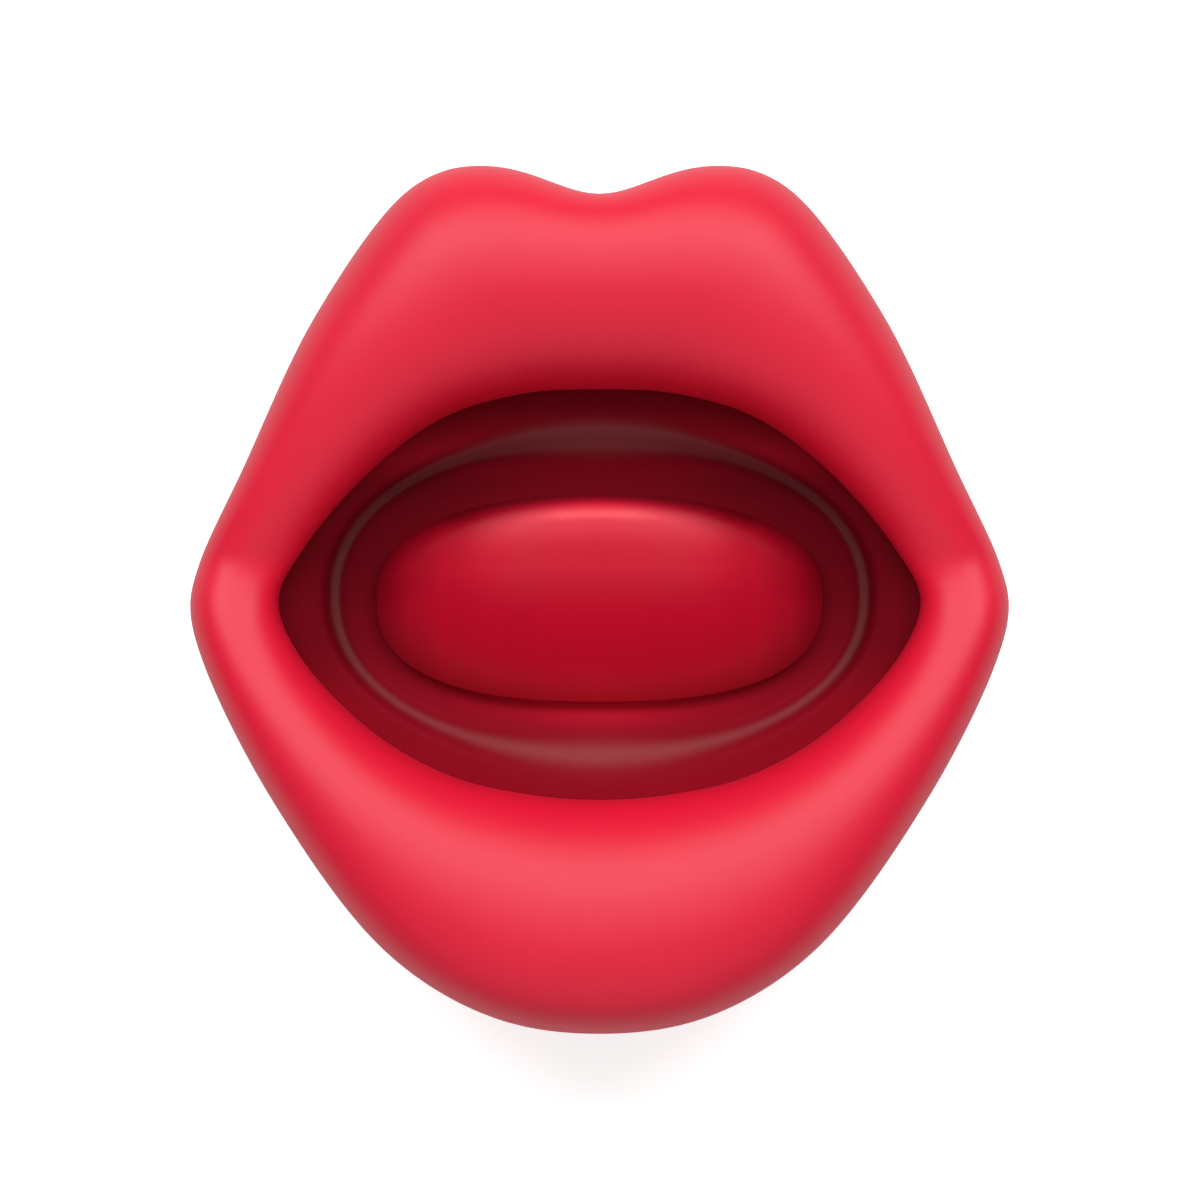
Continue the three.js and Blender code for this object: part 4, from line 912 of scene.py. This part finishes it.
# A tool for a rounded hole cut from below, with a soft edge where it leaves the back face
def roundedTool(x, y, width, length, corner, top):
    face, soft = cover["backFace"], cover["soft"]
    rings = [roundedRing(x, y, width + 2 * soft, length + 2 * soft, corner + soft, face - 1)]
    for out, rise in quarterRound(soft, 4):
        rings.append(roundedRing(x, y, width + 2 * out, length + 2 * out, corner + out, face + rise))
    rings.append(roundedRing(x, y, width, length, corner, top))
    return ringMesh("tool", rings)


# The same for a round hole, which may narrow to a bore
def roundTool(x, y, radius, top, bore=0.0, boreTop=0.0):
    face, soft = cover["backFace"], cover["soft"]
    profile = [(radius + soft, face - 1)]
    profile += [(radius + out, face + rise) for out, rise in quarterRound(soft, 4)]
    profile.append((radius, top))
    if bore:
        profile += [(bore, top), (bore, boreTop)]
    return turnedPiece("tool", profile, x, y, sides=64)


# What stands on the cover's inner face
def makeBosses():
    root, gap = cover["bossRoot"], cover["boltGap"]
    parts = []

    def post(radius, top, x, y):
        parts.append(turnedPiece("boss", [(radius, root), (radius, top)], x, y, sides=32))

    def collar(inner, wall, top, x, y, ledge=()):
        outer = inner + wall
        profile = [(outer, root), (outer, top), (inner, top), *(ledge or [(inner, root)])]
        parts.append(turnedPiece("boss", profile, x, y, sides=64, hollow=True))

    for name in screwNames:
        post(caseScrew["bossRadius"], cover["parting"], *places[name])
    for name in ("clamp_screw_left", "clamp_screw_right"):
        post(cover["postRadius"], boxOf("receiver_clamp")[0][2] - gap, *places[name])
    for side in (-1, 1):
        post(cover["postRadius"], boxOf("hook_switch")[0][2] - gap, side * hook["postX"], hookAt[1])
    inner, top = earpiece["collar"], earpiece["collarTop"]
    outer = inner + earpiece["collarWall"]
    profile = [(outer, root), (outer, top), (inner, top), (inner, cover["floorTop"] + earpiece["dishDepth"])]
    parts.append(turnedPiece("boss", profile, *ear, sides=64))
    collar(mouthpiece["collar"], mouthpiece["collarWall"], mouthpiece["collarTop"], *mouthAt)
    inner, ledge = ringer["collar"], ringer["ledge"]
    shelf = [(inner, ledge), (inner - ringer["ledgeWidth"], ledge), (inner - ringer["ledgeWidth"], root)]
    collar(inner, ringer["collarWall"], ringer["collarTop"], *ringerAt, shelf)
    collar(hook["radius"] + cover["keyGap"], hook["guideWall"], hook["guideTop"], *hookAt)
    return joinPieces("bosses", parts)


def keySize(name):
    if name in featureKeys:
        return keypad["featureWidth"], keypad["featureLength"]
    return keypad["width"], keypad["length"]


def makeCover():
    face, gap, boltGap = cover["backFace"], cover["keyGap"], cover["boltGap"]
    through = cover["floorTop"] + 3
    piece = combine(makeTray(), makeBosses(), "UNION")
    tools = []
    for name in [*keySigns, *featureKeys]:
        width, length = [size + 2 * gap for size in keySize(name)]
        tools.append(roundedTool(*places[name], width, length, keypad["corner"], through))
    bore = (caseScrew["radius"] + boltGap, cover["parting"] + 1)
    shoulder = face + caseScrew["sink"] + caseScrew["headHeight"] + boltGap
    for name in screwNames:
        tools.append(roundTool(*places[name], caseScrew["counterbore"], shoulder, *bore))
    slotWidth = slide["width"] + 2 * slide["travel"] + 2 * gap
    slotLength = slide["length"] + 2 * gap
    recess = [slotWidth + slide["recessWidth"], slotLength + slide["recessLength"]]
    for name in knobs:
        tools.append(roundedTool(*places[name], *recess, slide["recessCorner"], face + slide["recess"]))
    tools.append(roundTool(*hookAt, hook["radius"] + gap, through))
    tools.append(roundTool(*ear, earpiece["dishRadius"], face + earpiece["dishDepth"]))
    half, front = jack["width"] / 2 + boltGap, jackLow[1]
    tools.append(blockPiece("tool", (-half, front - jack["notchReach"], jackLow[2] - boltGap),
                            (half, front + jack["padMargin"], jack["notchTop"])))
    combine(piece, joinPieces("tools", tools), "DIFFERENCE")
    tools = []
    for look, (x, y) in [(earpiece, ear), (mouthpiece, mouthAt), (ringer, ringerAt)]:
        values = {"Radius": look["holeRadius"] * mm, "Depth": cover["rodDepth"] * mm,
                  "Material": materials["cover"]}
        tools.append(grow("holes", "rods", values, ringPoints(x, y, cover["rodMiddle"], look["holes"])))
    for name in knobs:
        x, y = places[name]
        tools.append(blockPiece("tool", (x - slotWidth / 2, y - slotLength / 2, face - 2),
                                (x + slotWidth / 2, y + slotLength / 2, through)))
    combine(piece, joinPieces("tools", tools), "DIFFERENCE")
    return piece


coverPiece = makeCover()
smooth(coverPiece, 35)
for face in coverPiece.data.polygons:
    if abs(face.normal.z) > 0.9999:  # the flat back and floor
        face.use_smooth = False
finishPiece(coverPiece, "cover", "case", "cover_plastic", "back_cover")
print("back cover made:", len(coverPiece.data.polygons), "faces")


# How deep a key's face is at some share of the way from its middle to its edge
def keyDish(share):
    return keypad["dish"] * (1 - min(max(share, 0), 1) ** 2)


# A key from its pressed face up: a dished face with a round edge, straight sides and a flange
def makeKey(name):
    x, y = places[name]
    width, length = keySize(name)
    face, edge, corner = keypad["face"], keypad["edge"], keypad["corner"]
    rings = []

    def ring(grow, height, ringCorner=corner):
        rings.append(roundedRing(x, y, width + 2 * grow, length + 2 * grow, ringCorner, height))

    for share in keypad["faceRings"]:
        inset = edge + (1 - share) * (length / 2 - edge)
        ring(-inset, face + keyDish(share), max(corner - inset, keypad["leastCorner"]))
    for inset, rise in quarterRound(edge, 4):
        ring(-inset, face + rise, corner - inset)
    ring(0, keypad["flangeLow"])
    ring(keypad["flange"], keypad["flangeLow"])
    ring(keypad["flange"], keypad["flangeHigh"])
    return ringMesh(pieceName(name, "Cap"), rings)


# A printed numeral or sign that reads from below
def makeNumeral(name, sign):
    x, y = places[name]
    text = bpy.data.curves.new("numeral", "FONT")
    text.body = sign
    text.align_x = "CENTER"
    text.align_y = "CENTER"
    text.size = keypad["numeralSize"] * mm
    text.extrude = keypad["numeralDepth"] * mm / 2
    piece = linkObject("numeral", text)
    depsgraph = bpy.context.evaluated_depsgraph_get()
    mesh = bpy.data.meshes.new_from_object(piece.evaluated_get(depsgraph))
    bpy.data.objects.remove(piece)
    mesh.transform(Matrix.Translation((x * mm, y * mm, 0)) @ Matrix.Rotation(math.pi, 4, "Y"))
    numeral = linkObject(pieceName(name, "Numeral"), outward(mesh))
    width, length = keySize(name)
    edge = keypad["edge"]
    for point in numeral.data.vertices:
        inside = min(width / 2 - abs(point.co.x / mm - x), length / 2 - abs(point.co.y / mm - y))
        sunk = keyDish(1 - (inside - edge) / (length / 2 - edge))
        point.co.z += (keypad["face"] + sunk - keypad["numeralProud"]) * mm
    return numeral


for name in keySigns:
    finishPiece(makeKey(name), "keys", name, "key_plastic", name, angle=40)
for name in featureKeys:
    finishPiece(makeKey(name), "featureKeys", name, "feature_key_plastic", name, angle=40)
for name, sign in keySigns.items():
    finishPiece(makeNumeral(name, sign), "numerals", name, "black_plastic")
print("keys made:", len(keySigns) + len(featureKeys))


def makePlunger():
    low, high = hook["bottom"], boxOf("hook_plunger")[1][2]
    flangeTop = boxOf("hook_spring")[0][2]
    flangeLow = flangeTop - hook["flange"]
    radius, wide, stem, edge = hook["radius"], hook["flangeRadius"], hook["stemRadius"], hook["stemEdge"]
    profile = [(poleRadius, low)]
    profile += [(radius - inset, low + rise) for inset, rise in quarterRound(hook["edge"])]
    profile += [(radius, flangeLow), (wide, flangeLow), (wide, flangeTop), (stem, flangeTop),
                (stem, high - edge), (stem - edge, high)]
    return turnedPiece("hookPlunger", profile, *hookAt, sides=64)


finishPiece(makePlunger(), "keys", "hook", "key_plastic", "hook_plunger", angle=40)


# The values of a row of bars along X from its middle, with a bar's size in millimetres
def barValues(count, pitch, size, middle, material):
    start = (middle[0] - (count - 1) / 2 * pitch, middle[1], middle[2])
    return {"Count": count, "Pitch": (pitch * mm, 0, 0), "Bar Size": [c * mm for c in size],
            "Start": [c * mm for c in start], "Material": material}


# A slide knob: a pin on a plate behind the cover, with a row of ribs across its end
def makeKnob(name):
    low, high = boxOf(name)
    x, y = places[name]
    width, length, edge, corner = slide["width"], slide["length"], slide["edge"], slide["corner"]
    plate, plateLow = [high[0] - low[0], high[1] - low[1]], high[2] - slide["plate"]
    end = low[2] + slide["ribHeight"]
    rings = [roundedRing(x, y, width - 2 * edge, length - 2 * edge, slide["endCorner"], end)]
    for size, height in [((width, length), end + edge), ((width, length), plateLow), (plate, plateLow),
                         (plate, high[2])]:
        rings.append(roundedRing(x, y, *size, corner, height))
    depth = slide["ribHeight"] + slide["ribRoot"]
    rib = (slide["ribWidth"], length - 2 * slide["ribInset"], depth)
    middle = (x, y, low[2] + depth / 2)
    values = barValues(slide["ribCount"], slide["ribPitch"], rib, middle, materials["black"])
    return joinPieces(pieceName(name, "Grip"), [ringMesh("knob", rings), grow("ribs", "barRow", values)])


for name, bodyName in zip(knobs, ("ringer_knob", "mode_knob")):
    finishPiece(makeKnob(name), "black", bodyName, "black_plastic", name, angle=40)
print("plunger and knobs made")


# The line jack: a socket with a latch groove, open to the edge of the body, with a row of contacts
def makeJack():
    rings = []
    for inset, y in [(jack["edge"], jackLow[1]), (0, jackLow[1] + jack["edge"]), (0, jackHigh[1])]:
        x0, x1 = jackLow[0] + inset, jackHigh[0] - inset
        z0, z1 = jackLow[2] + inset, jackHigh[2] - inset
        rings.append([(x0, y, z0), (x1, y, z0), (x1, y, z1), (x0, y, z1)])
    housing = ringMesh("lineJack", rings)
    bottom, back = jack["socketLow"], jackLow[1] + jack["socketDepth"]
    for width, low, high in [(jack["socketWidth"], bottom, bottom + jack["socketHeight"]),
                             (jack["latchWidth"], bottom - jack["latchDepth"], bottom + 1)]:
        tool = blockPiece("tool", (-width / 2, jackLow[1] - 1, low), (width / 2, back, high))
        combine(housing, tool, "DIFFERENCE")
    return housing


def makeContacts():
    front = jackLow[1] + jack["contactFrom"]
    length = jack["socketDepth"] - jack["contactFrom"]
    height = jack["socketLow"] + jack["socketHeight"] - jack["contactDrop"]
    size = (jack["contactWidth"], length, jack["contactWidth"])
    middle = (0, front + length / 2 - jack["contactShift"], height)
    contacts = grow("jackContacts", "barRow",
                    barValues(jack["contacts"], jack["contactPitch"], size, middle, materials["gold"]))
    for point in contacts.data.vertices:  # each wire runs down and inwards from the roof of the socket
        point.co.z += (point.co.y - front * mm) * jack["contactSlope"]
    return contacts


finishPiece(makeJack(), "black", "case", "black_plastic", "line_jack")
finishPiece(makeContacts(), "gold", "case", "ringer_brass")
print("jack made, with", jack["contacts"], "contacts")


# Springs sit between the two bodies that they push apart. Each takes its ends from its node,
# and its radius is to the middle of the wire.
springs = dict(
    tongue_spring_left=dict(turns=5, radius=3.6, lower="case", upper="tongue"),
    tongue_spring_right=dict(turns=5, radius=3.6, lower="case", upper="tongue"),
    hook_spring=dict(turns=4, radius=3.2, lower="hook", upper="case"),
)
springWire = 0.35


def makeSpring(name, turns, radius, lower, upper):
    low, high = boxOf(name)
    x, y = places[name]
    values = {"Turns": float(turns), "Radius": radius * mm, "Wire": springWire * mm,
              "Height": (high[2] - low[2] - 2 * springWire) * mm, "Material": materials["spring"]}
    piece = grow(pieceName(name, "Coil"), "coil", values, [(x, y, low[2] + springWire)])
    outward(piece.data)
    smooth(piece, 60)
    paint(piece, materials["spring"])
    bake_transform(piece)
    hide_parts(name)


for name, spring in springs.items():
    makeSpring(name, **spring)
print("springs made:", len(springs))


# A case screw with a cross recess in its round-edged head, at the origin
def makeScrew():
    low, high = boxOf(screwNames[0])
    bottom, top = low[2], high[2]
    radius, shank = caseScrew["headRadius"], caseScrew["radius"]
    shoulder = bottom + caseScrew["headHeight"]
    profile = [(poleRadius, bottom)]
    profile += [(radius - inset, bottom + rise) for inset, rise in quarterRound(caseScrew["headEdge"])]
    profile += [(radius, shoulder), (shank, shoulder), (shank, top - caseScrew["tip"]), (0.1, top)]
    screw = turnedPiece("screw", profile, 0, 0, sides=40)
    half, width = caseScrew["crossLength"] / 2, caseScrew["crossWidth"] / 2
    for x, y in [(half, width), (width, half)]:
        slot = blockPiece("tool", (-x, -y, bottom - 1), (x, y, bottom + caseScrew["crossDepth"]))
        combine(screw, slot, "DIFFERENCE")
    return screw


def makeFoot():
    radius, seat, stud = foot["radius"], foot["seat"], foot["studRadius"]
    profile = [(poleRadius, foot["dimple"][0][1])]
    profile += [(radius * share, height) for share, height in foot["dimple"]]
    profile += [(radius - inset, rise) for inset, rise in quarterRound(foot["edge"])]
    profile += [(radius, seat), (stud, seat), (stud, foot["studTop"])]
    return turnedPiece("foot", profile, 0, 0, sides=56)


for label, shape, names, look, slot in [("caseScrews", makeScrew(), screwNames, "zinc", "zinc_steel"),
                                        ("feet", makeFoot(), footNames, "rubber", "foot_rubber")]:
    smooth(shape, 40)
    points = [(*places[name], 0) for name in names]
    repeated = grow(label, "repeats", {"Shape": shape, "Material": materials[look]}, points)
    bpy.data.objects.remove(shape)
    finishPiece(repeated, look, "case", slot, *names)
print("screws and feet made:", len(screwNames) + len(footNames))

# The look of each slot, for the CAD nodes that stay
slotLooks = dict(
    foot_rubber="rubber", mat_rubber="mat", board_laminate="board", black_plastic="black",
    spring_steel="spring", zinc_steel="zinc", ringer_brass="brass", cast_weight="iron", lead_sheath="lead",
    key_plastic="keys", feature_key_plastic="featureKeys", cover_plastic="cover", lips_plastic="lips",
    liner_plastic="liner", tongue_plastic="tongue",
)
for part in frame["record"]["subparts"]:
    paint(frame["nodes"][part["node"]], materials[slotLooks[part["material_slot"]]])
print("CAD nodes painted:", len(frame["nodes"]))
